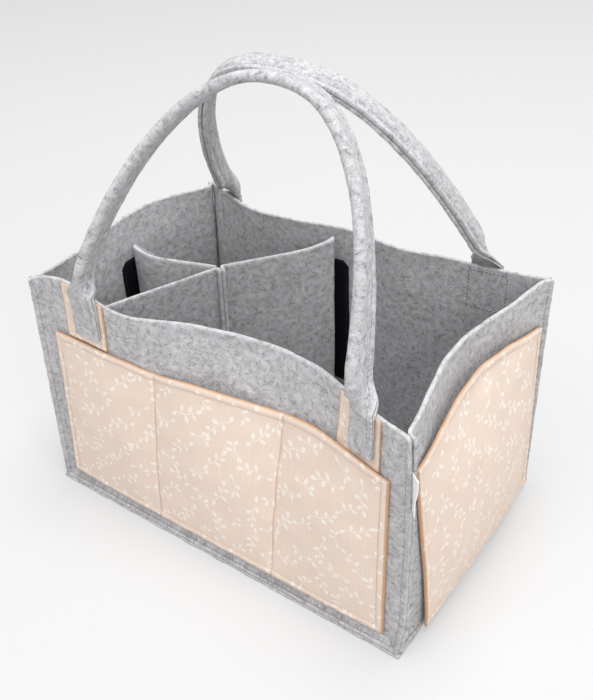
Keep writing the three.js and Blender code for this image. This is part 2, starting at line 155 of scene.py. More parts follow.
class Num:
    """A number in a material's node tree, which plain arithmetic can be done with."""

    def __init__(self, socket):
        self.socket = socket
        self.nodes = socket.id_data.nodes

    def math(self, operation, *others):
        node = self.nodes.new("ShaderNodeMath")
        node.operation = operation
        fill(node, dict(enumerate((self, *others))))
        return Num(node.outputs[0])

    def __add__(self, other):
        return self.math("ADD", other)

    def __sub__(self, other):
        return self.math("SUBTRACT", other)

    def __mul__(self, other):
        return self.math("MULTIPLY", other)

    def __truediv__(self, other):
        return self.math("DIVIDE", other)

    def __neg__(self):
        return self.math("MULTIPLY", -1.0)

    def __rsub__(self, other):
        return (-self) + other

    __radd__ = __add__
    __rmul__ = __mul__

    def larger(self, other):
        return self.math("MAXIMUM", other)

    def size(self):
        return self.math("ABSOLUTE")

    def above(self, low, high):
        """0 below low, 1 above high, and smooth between."""
        node = self.nodes.new("ShaderNodeMapRange")
        node.interpolation_type = "SMOOTHSTEP"
        fill(node, {"Value": self, "From Min": low, "From Max": high})
        return Num(node.outputs["Result"])

    def wave(self, pitch):
        """A sine wave over this number, from -1 to 1."""
        return (self * (FULL_TURN / pitch)).math("SINE")

    def ribs(self, pitch):
        """A sine wave over this number, from 0 to 1."""
        return self.wave(pitch) * 0.5 + 0.5


def mixed(share, low, high):
    """A colour between two, each of which is a colour or a socket."""
    node = share.nodes.new("ShaderNodeMix")
    node.data_type = "RGBA"
    ends = [place for place, entry in enumerate(node.inputs) if entry.type == "RGBA"]
    colours = [(*colour, 1) if isinstance(colour, tuple) else colour for colour in (low, high)]
    fill(node, {"Factor": share, **dict(zip(ends, colours))})
    return next(out for out in node.outputs if out.type == "RGBA")


def new_material(name, roughness, specular):
    """A new material and its shader."""
    material = bpy.data.materials.new(name)
    material.use_nodes = True
    shader = next(node for node in material.node_tree.nodes if node.type == "BSDF_PRINCIPLED")
    fill(shader, {"Roughness": roughness, "Specular IOR Level": specular})
    return material, shader


class Paint:
    """A material whose colour and bump come from formulas over the cloth's own coordinates, in mm."""

    def __init__(self, name, roughness, sheen=0.0, specular=0.3):
        self.material, self.shader = new_material(name, roughness, specular)
        self.nodes = self.material.node_tree.nodes
        fill(self.shader, {"Sheen Weight": sheen, "Sheen Roughness": 0.6})
        cloth = self.nodes.new("ShaderNodeUVMap")
        cloth.uv_map = CLOTH_MAP
        scaled = self.nodes.new("ShaderNodeVectorMath")
        scaled.operation = "SCALE"
        fill(scaled, {0: cloth.outputs["UV"], "Scale": 1 / MM})
        self.place = scaled.outputs["Vector"]
        self.s, self.z = self.parts(self.place)
        edge = self.nodes.new("ShaderNodeAttribute")
        edge.attribute_name = EDGE_NAME
        self.edge = Num(edge.outputs["Fac"])

    def parts(self, place):
        """The two coordinates of a place on the cloth."""
        split = fill(self.nodes.new("ShaderNodeSeparateXYZ"), {0: place})
        return Num(split.outputs["X"]), Num(split.outputs["Y"])

    def warped(self, reach, amount):
        """The cloth's coordinates pushed about by slow noise."""
        noise = self.nodes.new("ShaderNodeTexNoise")
        fill(noise, {"Vector": self.place, "Scale": 1 / reach, "Detail": 1.0})
        pushed = self.nodes.new("ShaderNodeVectorMath")
        pushed.operation = "MULTIPLY_ADD"
        fill(pushed, {0: noise.outputs["Color"], 1: (amount, amount, 0), 2: self.place})
        return pushed.outputs["Vector"]

    def noise(self, reach, detail=2.0, place=None, turn=0.0, stretch=1.0, shift=0.0, roughness=0.5):
        """Noise with features of about reach mm, drawn out along a turned direction by stretch."""
        mapping = self.nodes.new("ShaderNodeMapping")
        mapping.vector_type = "TEXTURE"
        fill(mapping, {
            "Vector": place or self.place,
            "Location": (shift, shift * 1.7, 0),
            "Rotation": (0, 0, turn),
            "Scale": (reach * stretch, reach, reach),
        })
        noise = self.nodes.new("ShaderNodeTexNoise")
        fill(noise, {
            "Vector": mapping.outputs["Vector"], "Scale": 1.0, "Detail": detail, "Roughness": roughness,
        })
        return Num(noise.outputs["Fac"])

    def chance(self, column, row, seed):
        """Three random numbers for each square of the cloth."""
        join = fill(self.nodes.new("ShaderNodeCombineXYZ"), {"X": column, "Y": row, "Z": seed})
        white = fill(self.nodes.new("ShaderNodeTexWhiteNoise"), {"Vector": join.outputs[0]})
        split = fill(self.nodes.new("ShaderNodeSeparateColor"), {0: white.outputs["Color"]})
        return [Num(out) for out in split.outputs]

    def finish(self, colour, height, distance, strength):
        """The material, with its colour and a bump of the given height formula."""
        bump = self.nodes.new("ShaderNodeBump")
        fill(bump, {"Height": height, "Strength": strength, "Distance": distance * MM})
        fill(self.shader, {"Base Color": colour, "Normal": bump.outputs["Normal"]})
        return self.material


# Materials

FELT_DARK = (0.085, 0.082, 0.089)
FELT_LIGHT = (0.68, 0.667, 0.684)
PEACH = (0.80, 0.655, 0.555)
# Painted shade: the deep orange that the cotton's edges, seams and sewn lines show in shade, with light
# shining through and bouncing in the cloth
PEACH_EDGE_SHADE = (0.50, 0.265, 0.12)
PRINT_WHITE = (0.90, 0.84, 0.775)
TAPE_BLACK = (0.004, 0.0045, 0.007)
TAPE_LINT = (0.013, 0.014, 0.02)
RIBBON_SHADE = (0.80, 0.80, 0.79)
RIBBON_WHITE = (0.92, 0.92, 0.91)

# Felt's fibres: width, noise detail, added turn, stretch, first shift, shift a layer, and noise kept
Fibre = namedtuple("Fibre", "reach detail turn stretch first shift low high")
WISP = Fibre(1.15, 2.0, 0.0, 5.5, 0.0, 31.0, 0.54, 0.72)
LINT = Fibre(0.9, 2.0, 0.6, 7.0, 17.0, 23.0, 0.56, 0.74)
HAIR = Fibre(0.34, 1.0, 0.3, 16.0, 7.0, 19.0, 0.64, 0.78)
FIBRE_LAYERS = 4
FIBRE_START = 18
FIBRE_TURN = 47

# How much each of felt's forms changes its tone
FELT_TONE = 0.70
CLOUD_TONE = 0.3
GRAIN_TONE = 0.6
WISP_TONE = 0.36
CROWDED_TONE = 0.22
LINT_TONE = 0.16
HAIR_TONE = 0.20
# The cut edges' tone is a painted highlight, where fuzzy fibres catch the light
EDGE_HIGHLIGHT_TONE = 0.08


def fibres(paint, place, kind):
    """Mask of one kind of fibre, in layers that lie every way."""
    mask = None
    for layer in range(FIBRE_LAYERS):
        turn = math.radians(FIBRE_START + FIBRE_TURN * layer) + kind.turn
        shift = kind.first + kind.shift * layer
        found = paint.noise(kind.reach, kind.detail, place, turn, kind.stretch, shift)
        found = found.above(kind.low, kind.high)
        mask = mask.larger(found) if mask else found
    return mask


def felt_material(name):
    """Pressed grey wool mix: a mottled ground with dark and pale fibres lying every way, and a painted
    highlight along its cut edges.
    """
    paint = Paint(name, roughness=0.95, sheen=0.15, specular=0.1)
    swirl = paint.warped(12.0, 10.0)
    blotch = paint.noise(5.0, detail=4.0, place=swirl, roughness=0.62)
    cloud = paint.noise(24.0, shift=40.0)
    grain = paint.noise(0.7, shift=11.0, roughness=0.7)
    dark = fibres(paint, swirl, WISP)
    pale = fibres(paint, swirl, LINT)
    hair = fibres(paint, swirl, HAIR)
    crowd = blotch.above(0.34, 0.66)
    # Painted highlight: the felt is lightened within 2 mm of its cut edges
    cut = 1.0 - paint.edge.above(0.2, 1.8)
    tone = FELT_TONE + (blotch - 0.5) + (cloud - 0.5) * CLOUD_TONE + (grain - 0.5) * GRAIN_TONE
    tone = tone - dark * (WISP_TONE - CROWDED_TONE * crowd) + pale * LINT_TONE - hair * HAIR_TONE
    colour = mixed(tone + cut * EDGE_HIGHLIGHT_TONE, FELT_DARK, FELT_LIGHT)
    return paint.finish(colour, grain * 0.8 + pale * 0.7 - dark * 0.5 + blotch * 0.8, 0.5, 0.5)


# The print's twigs: where each leaf sits on the stem, its turn in degrees, half length and half width
Twig = namedtuple("Twig", "seed offset bend reach leaves")
LONG_TWIG = Twig(1.0, 0.0, 0.02, 8.9, (
    (-8.6, 200, 2.7, 1.6),
    (-5.2, 64, 2.5, 1.5),
    (-1.2, -60, 2.8, 1.6),
    (2.4, 54, 2.7, 1.5),
    (5.8, -46, 2.4, 1.45),
    (8.6, 16, 2.8, 1.65),
))
SHORT_TWIG = Twig(2.0, 0.5, -0.04, 4.3, (
    (-4.0, 186, 2.4, 1.5),
    (-0.3, 68, 2.5, 1.45),
    (3.6, 38, 2.5, 1.5),
    (4.0, -40, 2.3, 1.4),
))
PRINT_PITCH = 31.0
PRINT_FREEDOM = PRINT_PITCH * 0.16
STEM_HALF = 0.3
STEM_SOFT = 0.16
STALK = 1.3


def leaf(x, y, root, turn, length, width):
    """Mask of one pointed leaf on a short stalk, with a midrib left open."""
    along = (x - root[0]) * math.cos(turn) + (y - root[1]) * math.sin(turn)
    aside = ((y - root[1]) * math.cos(turn) - (x - root[0]) * math.sin(turn)).size()
    t = (along - (STALK + length)) / length
    body = (1.0 - t * t).larger(0.0) * (1.0 - t * 0.3) * width
    blade = (body - aside).above(0.0, 0.2)
    rib = (STEM_HALF - aside).above(0.0, 0.14) * (0.45 - t.size()).above(0.0, 0.15)
    stalk = along.above(-0.1, 0.1) * (STALK + 0.4 - along).above(0.0, 0.2)
    stem = (STEM_HALF - aside).above(0.0, STEM_SOFT) * stalk
    return (blade - rib * 0.8).larger(stem)


def sprigs(paint, place, twig):
    """One layer of the print: each square of the cloth holds a twig, turned by chance."""
    across, upward = (number / PRINT_PITCH + twig.offset for number in place)
    spin, side, lift = paint.chance(across.math("FLOOR"), upward.math("FLOOR"), twig.seed)
    x0 = (across.math("FRACT") - 0.5) * PRINT_PITCH + (side - 0.5) * PRINT_FREEDOM
    y0 = (upward.math("FRACT") - 0.5) * PRINT_PITCH + (lift - 0.5) * PRINT_FREEDOM
    angle = spin * FULL_TURN
    cosine = angle.math("COSINE")
    sine = angle.math("SINE")
    x = x0 * cosine + y0 * sine
    y = y0 * cosine - x0 * sine
    line = (y - x * x * twig.bend).size()
    mask = (STEM_HALF - line).above(0.0, STEM_SOFT) * (twig.reach - x.size()).above(0.0, 0.3)
    for at, turn, length, width in twig.leaves:
        root = (at, twig.bend * at * at)
        mask = mask.larger(leaf(x, y, root, math.radians(turn), length, width))
    return mask


def cotton_material(name):
    """Plain-woven peach cotton with a white sprig print, and a painted deep orange shade along its edges and
    sewn lines.
    """
    paint = Paint(name, roughness=0.85, sheen=0.05, specular=0.2)
    warp = paint.s.wave(0.5)
    weft = paint.z.wave(0.5)
    slub = paint.noise(0.55, turn=math.pi / 2, stretch=45.0, shift=5.0) - 0.5
    weft_slub = paint.noise(0.5, stretch=30.0, shift=9.0) - 0.5
    cloud = paint.noise(30.0) - 0.5
    tone = 0.5 + slub * 1.1 + weft_slub * 0.45 + cloud * 0.5 + warp * 0.06 + weft * 0.06
    ground = mixed(tone, tuple(0.90 * c for c in PEACH), tuple(1.08 * c for c in PEACH))
    drifted = paint.parts(paint.warped(45.0, 12.0))
    print_mask = sprigs(paint, drifted, LONG_TWIG).larger(sprigs(paint, drifted, SHORT_TWIG))
    printed = mixed(print_mask * 0.9, ground, PRINT_WHITE)
    # Painted shade: deep orange near the cloth's edges, seams and sewn lines
    fold = 1.0 - paint.edge.above(0.0, 1.5)
    colour = mixed(fold * 0.8, printed, PEACH_EDGE_SHADE)
    return paint.finish(colour, warp * 0.5 + weft * 0.5 + slub * 1.6 + weft_slub * 1.2, 0.12, 0.35)


def tape_material(name, hooked):
    """Black hook or loop tape: rows of stiff hooks, or a crushed mat of loops."""
    paint = Paint(name, roughness=0.85, specular=0.12)
    if hooked:
        pile = (paint.s.wave(1.6) * paint.z.wave(1.3)).above(0.2, 0.9)
    else:
        mat = paint.noise(0.6, 3.0, paint.warped(3.0, 2.0), stretch=2.0, roughness=0.7)
        pile = mat.above(0.42, 0.75)
    selvedge = 1.0 - paint.edge.above(1.6, 2.0)
    height = pile * (1.0 - selvedge) + paint.z.ribs(0.7) * selvedge * 0.5
    return paint.finish(mixed(height, TAPE_BLACK, TAPE_LINT), height, 0.5, 0.6)


def ribbon_material(name):
    """White satin ribbon with a fine cross rib."""
    paint = Paint(name, roughness=0.45, sheen=0.1, specular=0.4)
    rib = paint.z.ribs(0.45)
    tone = rib * 0.4 + paint.noise(5.0) * 0.6
    return paint.finish(mixed(tone, RIBBON_SHADE, RIBBON_WHITE), rib, 0.08, 0.4)


def thread_material(name, low, high):
    """Sewing thread, its twist shown as fine slanted bands."""
    paint = Paint(name, roughness=0.7, sheen=0.2, specular=0.25)
    twist = (paint.s + paint.z * 0.6).ribs(0.45)
    tone = twist * 0.6 + paint.noise(2.0, detail=1.0) * 0.4
    return paint.finish(mixed(tone, low, high), twist, 0.06, 0.5)


felt = felt_material("grey_felt")
cotton = cotton_material("peach_cotton")
loop_tape = tape_material("loop_tape", False)
hook_tape = tape_material("hook_tape", True)
ribbon = ribbon_material("white_ribbon")
grey_thread = thread_material("grey_thread", (0.20, 0.195, 0.205), (0.36, 0.35, 0.365))
dark_thread = thread_material("dark_thread", (0.07, 0.068, 0.075), (0.16, 0.155, 0.165))
peach_thread = thread_material("peach_thread", (0.58, 0.42, 0.31), (0.72, 0.56, 0.45))
black_thread = thread_material("black_thread", (0.003, 0.003, 0.004), (0.014, 0.014, 0.017))


# Mesh making

RIM_SHARES = (0.28, 0.72)
STITCH_SIDES = 5
STITCH_ARCH = np.array([-0.25, 0.12, 0.2, 0.12, -0.25])
STITCH_GIRTH = np.array([0.5, 0.95, 1.0, 0.95, 0.5])


class Cloth:
    """Collects the points and faces of one piece, with its cloth coordinates and edge distances."""

    def __init__(self):
        self.points = []
        self.places = []
        self.edges = []
        self.faces = []
        self.slots = []
        self.count = 0

    def add(self, points, places, edges, faces, slot=0):
        self.points.append(points)
        self.places.append(places)
        self.edges.append(edges)
        self.faces.extend(tuple(int(k) + self.count for k in face) for face in faces)
        self.slots.extend([slot] * len(faces))
        self.count += len(points)

    def sheet(self, outer, inner, places, edges, slot=0, round_by=0.5, rim_on_edge=True):
        """A closed sheet between two grids (rows, columns, 3), with a rounded rim whose faces may count as
        lying on the cut edge.
        """
        rows, columns = outer.shape[:2]
        index = np.arange(rows * columns).reshape(rows, columns)
        loop = np.concatenate([index[0, :-1], index[:-1, -1], index[-1, :0:-1], index[:0:-1, 0]])
        row_in = np.clip(np.arange(rows), 1, rows - 2)
        column_in = np.clip(np.arange(columns), 1, columns - 2)
        towards = index[row_in][:, column_in].ravel()[loop]
        outer_flat = outer.reshape(-1, 3)
        inner_flat = inner.reshape(-1, 3)
        flat_places = places.reshape(-1, 2)
        flat_edges = edges.ravel()
        middle = (outer_flat + inner_flat) / 2
        away = unit(middle[loop] - middle[towards])
        swing = unit(flat_places[loop] - flat_places[towards])
        thickness = np.linalg.norm(outer_flat[loop] - inner_flat[loop], axis=1, keepdims=True)
        rims = []
        for share in RIM_SHARES:
            rim = outer_flat[loop] * (1 - share) + inner_flat[loop] * share
            rims.append(rim + away * round_by * np.minimum(thickness, FELT) / FELT)
        size = rows * columns
        ring = len(loop)
        points = np.concatenate([outer_flat, inner_flat, *rims])
        rim_places = [flat_places[loop] + swing * thickness * share for share in RIM_SHARES]
        all_places = np.concatenate([flat_places, flat_places, *rim_places])
        # Rim faces on the cut edge take the felt's full painted edge highlight, or the cotton's full painted
        # edge shade
        rim_edges = np.zeros(ring) if rim_on_edge else flat_edges[loop]
        all_edges = np.concatenate([flat_edges, flat_edges, rim_edges, rim_edges])
        corners = [index[:-1, :-1], index[:-1, 1:], index[1:, 1:], index[1:, :-1]]
        quads = np.stack(corners, -1).reshape(-1, 4)
        following = np.roll(np.arange(ring), -1)
        first = 2 * size + np.arange(ring)
        second = first + ring
        bands = [
            np.stack([loop[following], loop, first, first[following]], -1),
            np.stack([first[following], first, second, second[following]], -1),
            np.stack([second[following], second, size + loop, size + loop[following]], -1),
        ]
        faces = np.concatenate([quads, quads[:, ::-1] + size, *bands])
        self.add(points, all_places, all_edges, faces, slot)

    def tube(self, rings, places, edges, slot=0):
        """A tube through rings of points (rings, around, 3), capped at both ends."""
        count, around = rings.shape[:2]
        index = np.arange(count * around).reshape(count, around)
        ahead = np.roll(index, -1, axis=1)
        quads = np.stack([index[:-1], ahead[:-1], ahead[1:], index[1:]], -1).reshape(-1, 4)
        faces = [*quads, tuple(index[0, ::-1]), tuple(index[-1])]
        self.add(rings.reshape(-1, 3), places.reshape(-1, 2), edges.ravel(), faces, slot)

    def stitches(self, line, normals, slot, pitch=3.4, length=2.5, radius=0.3):
        """A row of sewing stitches along a line, each dipping into the cloth at its two ends."""
        run = running(line)
        normals = np.broadcast_to(normals, line.shape)
        count = int((run[-1] - length) / pitch)
        girth = STITCH_GIRTH * radius
        corners = np.linspace(0, FULL_TURN, STITCH_SIDES, endpoint=False)
        around = np.tile(corners * radius, (len(girth), 1))
        for k in range(count + 1):
            at = k * pitch + np.linspace(0, length, len(girth))
            middle = np.stack([np.interp(at, run, line[:, axis]) for axis in range(3)], -1)
            raised = unit(np.stack([np.interp(at, run, normals[:, axis]) for axis in range(3)], -1))
            ahead = unit(middle[-1] - middle[0])
            beside = unit(np.cross(ahead, raised))
            centre = middle + raised * STITCH_ARCH[:, None]
            spokes = (np.cos(corners)[None, :, None] * beside[:, None]
                      + np.sin(corners)[None, :, None] * raised[:, None])
            rings = centre[:, None] + girth[:, None, None] * spokes
            places = np.stack([np.repeat(at[:, None], STITCH_SIDES, 1), around], -1)
            self.tube(rings, places, np.full(rings.shape[:2], FAR_IN), slot)

    def piece(self, name, materials, slot_name, *nodes):
        """The finished object, standing for its CAD nodes."""
        mesh = bpy.data.meshes.new(name)
        points = np.concatenate(self.points) * MM
        mesh.from_pydata(points.tolist(), [], self.faces)
        for material in materials:
            mesh.materials.append(material)
        mesh.polygons.foreach_set("material_index", np.array(self.slots, np.int32))
        mesh.polygons.foreach_set("use_smooth", np.ones(len(mesh.polygons), bool))
        build = bmesh.new()
        build.from_mesh(mesh)
        bmesh.ops.recalc_face_normals(build, faces=build.faces)
        build.to_mesh(mesh)
        build.free()
        corners = np.zeros(len(mesh.loops), np.int32)
        mesh.loops.foreach_get("vertex_index", corners)
        places = np.concatenate(self.places) * MM
        layer = mesh.uv_layers.new(name=CLOTH_MAP)
        layer.uv.foreach_set("vector", places[corners].astype(np.float32).ravel())
        edge = mesh.attributes.new(EDGE_NAME, "FLOAT", "POINT")
        edge.data.foreach_set("value", np.concatenate(self.edges).astype(np.float32))
        made = bpy.data.objects.new(name, mesh)
        bpy.context.scene.collection.objects.link(made)
        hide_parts(*nodes)
        return made


# The walls: s runs to the right seen from outside, d out from the centre and z up


class Wall:
    """A felt wall that bows inward at its top, bellies out lower down and swells a little."""

    def __init__(self, name, quarters, half, face, depth, centre, fades, belly, sag=0.0):
        turn = quarters * (math.pi / 2)
        self.name = name
        self.along = np.array([math.cos(turn), math.sin(turn), 0.0])
        self.out = np.array([math.sin(turn), -math.cos(turn), 0.0])
        self.half = half
        self.face = face
        self.depth = depth
        self.centre = centre
        self.fades = fades
        self.belly = belly
        self.sag = sag
        self.swell = ripple(len(name) * 13, 55.0, 0.35)

    def bow(self, s, z):
        edge = self.half - FELT
        room = np.where(s < self.centre, edge + self.centre, edge - self.centre)
        fade = np.where(s < self.centre, *self.fades)
        dip = self.depth * bell((s - self.centre) / room) ** fade
        dip = dip + self.sag * bell((s - SAG_CENTRE) / SAG_REACH)
        lean = dip * (np.maximum(z, 0) / HEIGHT) ** BOW_RISE
        fall = np.maximum(0, 1 - ((z - BELLY_HEIGHT) / BELLY_REACH) ** 2)
        calm = np.maximum(0, 1 - (s / edge) ** 4)
        return lean - self.belly * fall * calm + self.swell(s, z) * calm * np.clip(z / SWELL_FADE, 0, 1)

    def place(self, s, d, z):
        """A point in the part's frame, where the felt's top edge rises or sags a little."""
        s, d, z = np.broadcast_arrays(s, d, z)
        points = s[..., None] * self.along + d[..., None] * self.out + z[..., None] * UP
        lift = np.zeros(z.shape)
        for rise in RISES:
            away = np.hypot(points[..., 0] - rise.x, points[..., 1] - rise.y)
            lift += rise.height * dent(away, rise.reach, np.clip(z / HEIGHT, 0, 1) ** rise.fade)
        return points + lift[..., None] * UP

    def point(self, s, z, offset):
        return self.place(s, self.face - self.bow(s, z) + offset, z)


SWELL_FADE = 40.0

# Slack in the back wall's top edge
SAG = 9.0
SAG_CENTRE = -42.0
SAG_REACH = 54.0

# Where the top edges stand taller or sag: how far round a place, how much, and how fast it fades downwards
Rise = namedtuple("Rise", "x y reach height fade")
RISES = (
    Rise(INNER_X, INNER_Y, 36.0, 6.0, 2),
    Rise(27.5 - INNER_X, 6.0 - INNER_Y, 30.0, 9.0, 6),
    Rise(82.0 - INNER_X, 15.0 - INNER_Y, 31.0, -6.5, 6),
)

walls = {
    "front": Wall("front", 0, INNER_X, INNER_Y, depth=29.0, centre=48.0, fades=(1.65, 0.7), belly=3.0),
    "right": Wall("right", 1, INNER_Y, INNER_X, depth=17.5, centre=0.0, fades=(0.7, 0.7), belly=12.0),
    "back": Wall("back", 2, INNER_X, INNER_Y, depth=20.0, centre=96.0, fades=(4.6, 0.7), belly=0.0, sag=SAG),
    "left": Wall("left", 3, INNER_Y, INNER_X, depth=-22.0, centre=-33.0, fades=(0.7, 0.7), belly=6.0),
}


def side_offset(path, distance):
    """A plan path (..., points, 2) moved square to itself, to the right of its direction."""
    tangent = unit(np.gradient(path, axis=-2))
    normal = np.stack([tangent[..., 1], -tangent[..., 0]], -1)
    return path + normal * distance[..., None]


SEAM_STITCH = 4.6
SEAM_BEND = 5.0
SEAM_LEAN = FELT / 2 + 0.06
FLANGE = (SEAM_REACH - FELT * COS_45) * math.sqrt(2)
SEAM_PIVOT = FELT / 2 - SEAM_LEAN * COS_45
# How much farther the seam flanges' edges count from the cut edge, so they take less of the felt's painted
# edge highlight
SEAM_HIGHLIGHT_HOLDBACK = 1.2
SEAM_GAPE = 0.7
GROOVE_HALF = 0.7
GROOVE_DEPTH = 0.55
GAPE_HEIGHT = 50.0

# The near corner's seam edge lies over to the right: heights, and its turn in degrees at each
SWING_HEIGHTS = (5.0, 30.0, 100.0, 150.0, 200.0)
SWING_TURNS = (0.0, 34.0, 40.0, 31.0, 14.0)


def seam_swing(z):
    return np.radians(np.interp(z, SWING_HEIGHTS, SWING_TURNS))


def turned(points, turn, pivot):
    """Plan points turned about a pivot."""
    spin = np.array([[math.cos(turn), math.sin(turn)], [-math.sin(turn), math.cos(turn)]])
    return pivot + (points - pivot) @ spin


def wall_section(wall, rows):
    """Plan path of a wall's mid-sheet at each height: seam edge, bend, wall, bend, seam edge."""
    knee = np.array([wall.half + FELT / 2 - SEAM_LEAN * math.sqrt(2), FELT / 2])
    pivot = np.array([wall.half + SEAM_PIVOT, SEAM_PIVOT])
    swings = {"front": (0, -1), "right": (1, 0)}.get(wall.name, (0, 0))
    diagonal = np.array([COS_45, COS_45])
    out_run = np.concatenate([np.linspace(SEAM_BEND, FLANGE - 1.6, 9), FLANGE - np.array([1.1, 0.7, 0.5])])
    t = np.linspace(0, 1, 10)[1:-1, None]
    start = knee - [SEAM_BEND, 0]
    end = knee + SEAM_BEND * diagonal
    inner_end = wall.half - SEAM_BEND - 2
    columns = np.linspace(-inner_end, inner_end, int(2 * inner_end / 3.0))
    ragged = ripple(3 + len(wall.name), 14.0, 0.16)
    paths = []
    for z in rows:
        tip = out_run * (1 + ragged(z, 40.0) / FLANGE)
        gape = SEAM_GAPE * smooth((z - HEIGHT + GAPE_HEIGHT) / GAPE_HEIGHT)
        gape = gape * smooth((out_run - FLANGE + SEAM_STITCH) / SEAM_STITCH)
        flange = knee + tip[:, None] * diagonal + gape[:, None] * np.array([-COS_45, COS_45])
        sides = []
        for swing in swings:
            corner, last, lips = (turned(p, swing * seam_swing(z), pivot) for p in (knee, end, flange))
            bend = (1 - t) ** 2 * start + 2 * t * (1 - t) * corner + t ** 2 * last
            sides.append(np.concatenate([[start], bend, lips]))
        middle = np.stack([columns, FELT / 2 - wall.bow(columns, z)], -1)
        paths.append(np.concatenate([sides[0][::-1] * [-1, 1], middle, sides[1]]))
    paths = np.array(paths)
    tips = np.full(paths.shape[1], 30.0)
    tips[-len(out_run):] = FLANGE - out_run
    tips[: len(out_run)] = tips[: -len(out_run) - 1 : -1]
    return paths, tips


# How far apart the walls' cloth coordinates lie, so that no two show the same mottling
CLOTH_SHIFT = 400.0


def wall_piece(wall):
    top_rows = np.linspace(HEIGHT - 4.5, HEIGHT, 5)
    rows = np.concatenate([np.linspace(WALL_BOTTOM, HEIGHT - 6, 56), top_rows])
    paths, tips = wall_section(wall, rows)
    fuzz = ripple(50 + len(wall.name), 9.0, 0.12)
    run = running(paths[0])
    run -= run[-1] / 2
    grid_s, grid_z = np.meshgrid(run, rows)
    groove = dent(tips - SEAM_STITCH, GROOVE_HALF, GROOVE_DEPTH)
    half_sheet = FELT / 2 + fuzz(grid_s, grid_z)
    outer = side_offset(paths, -(half_sheet - groove))
    inner = side_offset(paths, half_sheet)
    ragged_top = ripple(70 + len(wall.name), 12.0, 0.18)(run, 0.0)
    heights = grid_z + ragged_top * (grid_z > HEIGHT - 1)
    outer_points = wall.place(outer[..., 0], wall.face + outer[..., 1], heights)
    inner_points = wall.place(inner[..., 0], wall.face + inner[..., 1], heights)
    # The seam flanges' edges are held back from the full painted edge highlight
    edges = np.minimum(HEIGHT - grid_z, tips[None, :] + SEAM_HIGHLIGHT_HOLDBACK)
    cloth = Cloth()
    shift = np.array([CLOTH_SHIFT * len(wall.name), 0.0])
    # The wall's rims keep their grid's edge distances, so they take less of the painted edge highlight
    cloth.sheet(outer_points, inner_points, np.stack([grid_s, grid_z], -1) + shift, edges, rim_on_edge=False)
    foot_strip(cloth, wall)
    sewn = nearest(tips[: len(tips) // 2], SEAM_STITCH)
    for column in (sewn, len(tips) - 1 - sewn):
        line = outer_points[:, column]
        normals = unit(outer_points[:, column] - inner_points[:, column])
        cloth.stitches(line[1:-1], normals[1:-1], 1)
    for stitch_line, normals, slot in wall_marks(wall):
        cloth.stitches(stitch_line, normals, slot, radius=0.1 * (slot + 1))
    return cloth.piece(f"{wall.name}_wall", [felt, grey_thread, dark_thread], "felt", f"{wall.name}_panel")


# Which row of the foot strip's profile is its sewn groove
FOOT_GROOVE = 6


def foot_strip(cloth, wall):
    """The wall's lower edge, turned out and sewn to the base, with mitred ends."""
    s = np.linspace(-1, 1, int(2 * wall.half / 3.5))
    low = WALL_BOTTOM
    top = low + FELT
    reached = s * (wall.half - FELT)
    near = FELT - wall.bow(reached, np.full_like(s, low))
    ragged = ripple(90 + len(wall.name), 16.0, 0.25)(reached, 0.0)
    far = np.maximum(SEAM_REACH, near + 1.2) - 0.3 + ragged * 0.6
    span = far - near
    # Each row: distance out, height and edge distance; the rim's edge distances are kept at 1.2 mm or more,
    # so it takes only a little of the felt's painted edge highlight
    profile = (
        (near - FELT / 2, low, FAR_IN),
        (far - 0.6, low, 1.4),
        (far, low + 0.7, 1.2),
        (far, top - 0.7, 1.2),
        (far - 0.6, top - 0.05, 1.5),
        (near + 0.62 * span, top, 3.0),
        (near + 0.5 * span, top - 0.5, 3.0),
        (near + 0.38 * span, top + 0.1, 4.0),
        (near + 0.2 * span, top + 0.8, 5.0),
        (near + 0.06 * span, top + 2.6, FAR_IN),
        (near - 0.4, top + 4.5, FAR_IN),
        (near - FELT / 2, top + 4.5, FAR_IN),
    )
    rings = []
    places = []
    edges = []
    for d, z, edge in profile:
        along = s * (wall.half + d - FELT)
        rings.append(wall.place(along, wall.face + d, np.full_like(s, z)))
        places.append(np.stack([along, d + z], -1))
        edges.append(np.full_like(s, edge))
    shift = np.array([CLOTH_SHIFT * len(wall.name) + 190.0, 300.0])
    cloth.tube(np.stack(rings, 1), np.stack(places, 1) + shift, np.stack(edges, 1))
    groove = rings[FOOT_GROOVE][2:-2]
    cloth.stitches(groove + UP * 0.12, UP, 1)


def rectangle_marks(wall, centre, width, top, bottom, face):
    """Sewing that shows on one face of a wall, round a piece sewn on its other face."""
    left = centre - width / 2
    right = centre + width / 2
    sides = (((left, bottom), (left, top)), ((right, bottom), (right, top)),
             ((left, bottom), (right, bottom)), ((left, top), (right, top)))
    offset = FELT * (face > 0) + 0.02 * face
    slot = 1 if face > 0 else 2
    for (s0, z0), (s1, z1) in sides:
        line = wall.point(np.linspace(s0, s1, 24), np.linspace(z0, z1, 24), offset)
        yield line, wall.out * face, slot


def wall_marks(wall):
    if wall.name in STRAPS:
        reach = FOOT_WIDTH + 2 * PATCH_BORDER - 6
        bottom = HEIGHT - FOOT_DROP - PATCH_DROP + 3
        for centre in STRAPS[wall.name].ends:
            yield from rectangle_marks(wall, centre, reach, HEIGHT - 4, bottom, -1)
    if wall.name in LOOPS:
        centre, drop = LOOPS[wall.name]
        top = HEIGHT - drop - 2
        yield from rectangle_marks(wall, centre, LOOP_WIDTH - 5, top, top - LOOP_LENGTH + 4, 1)


# Base


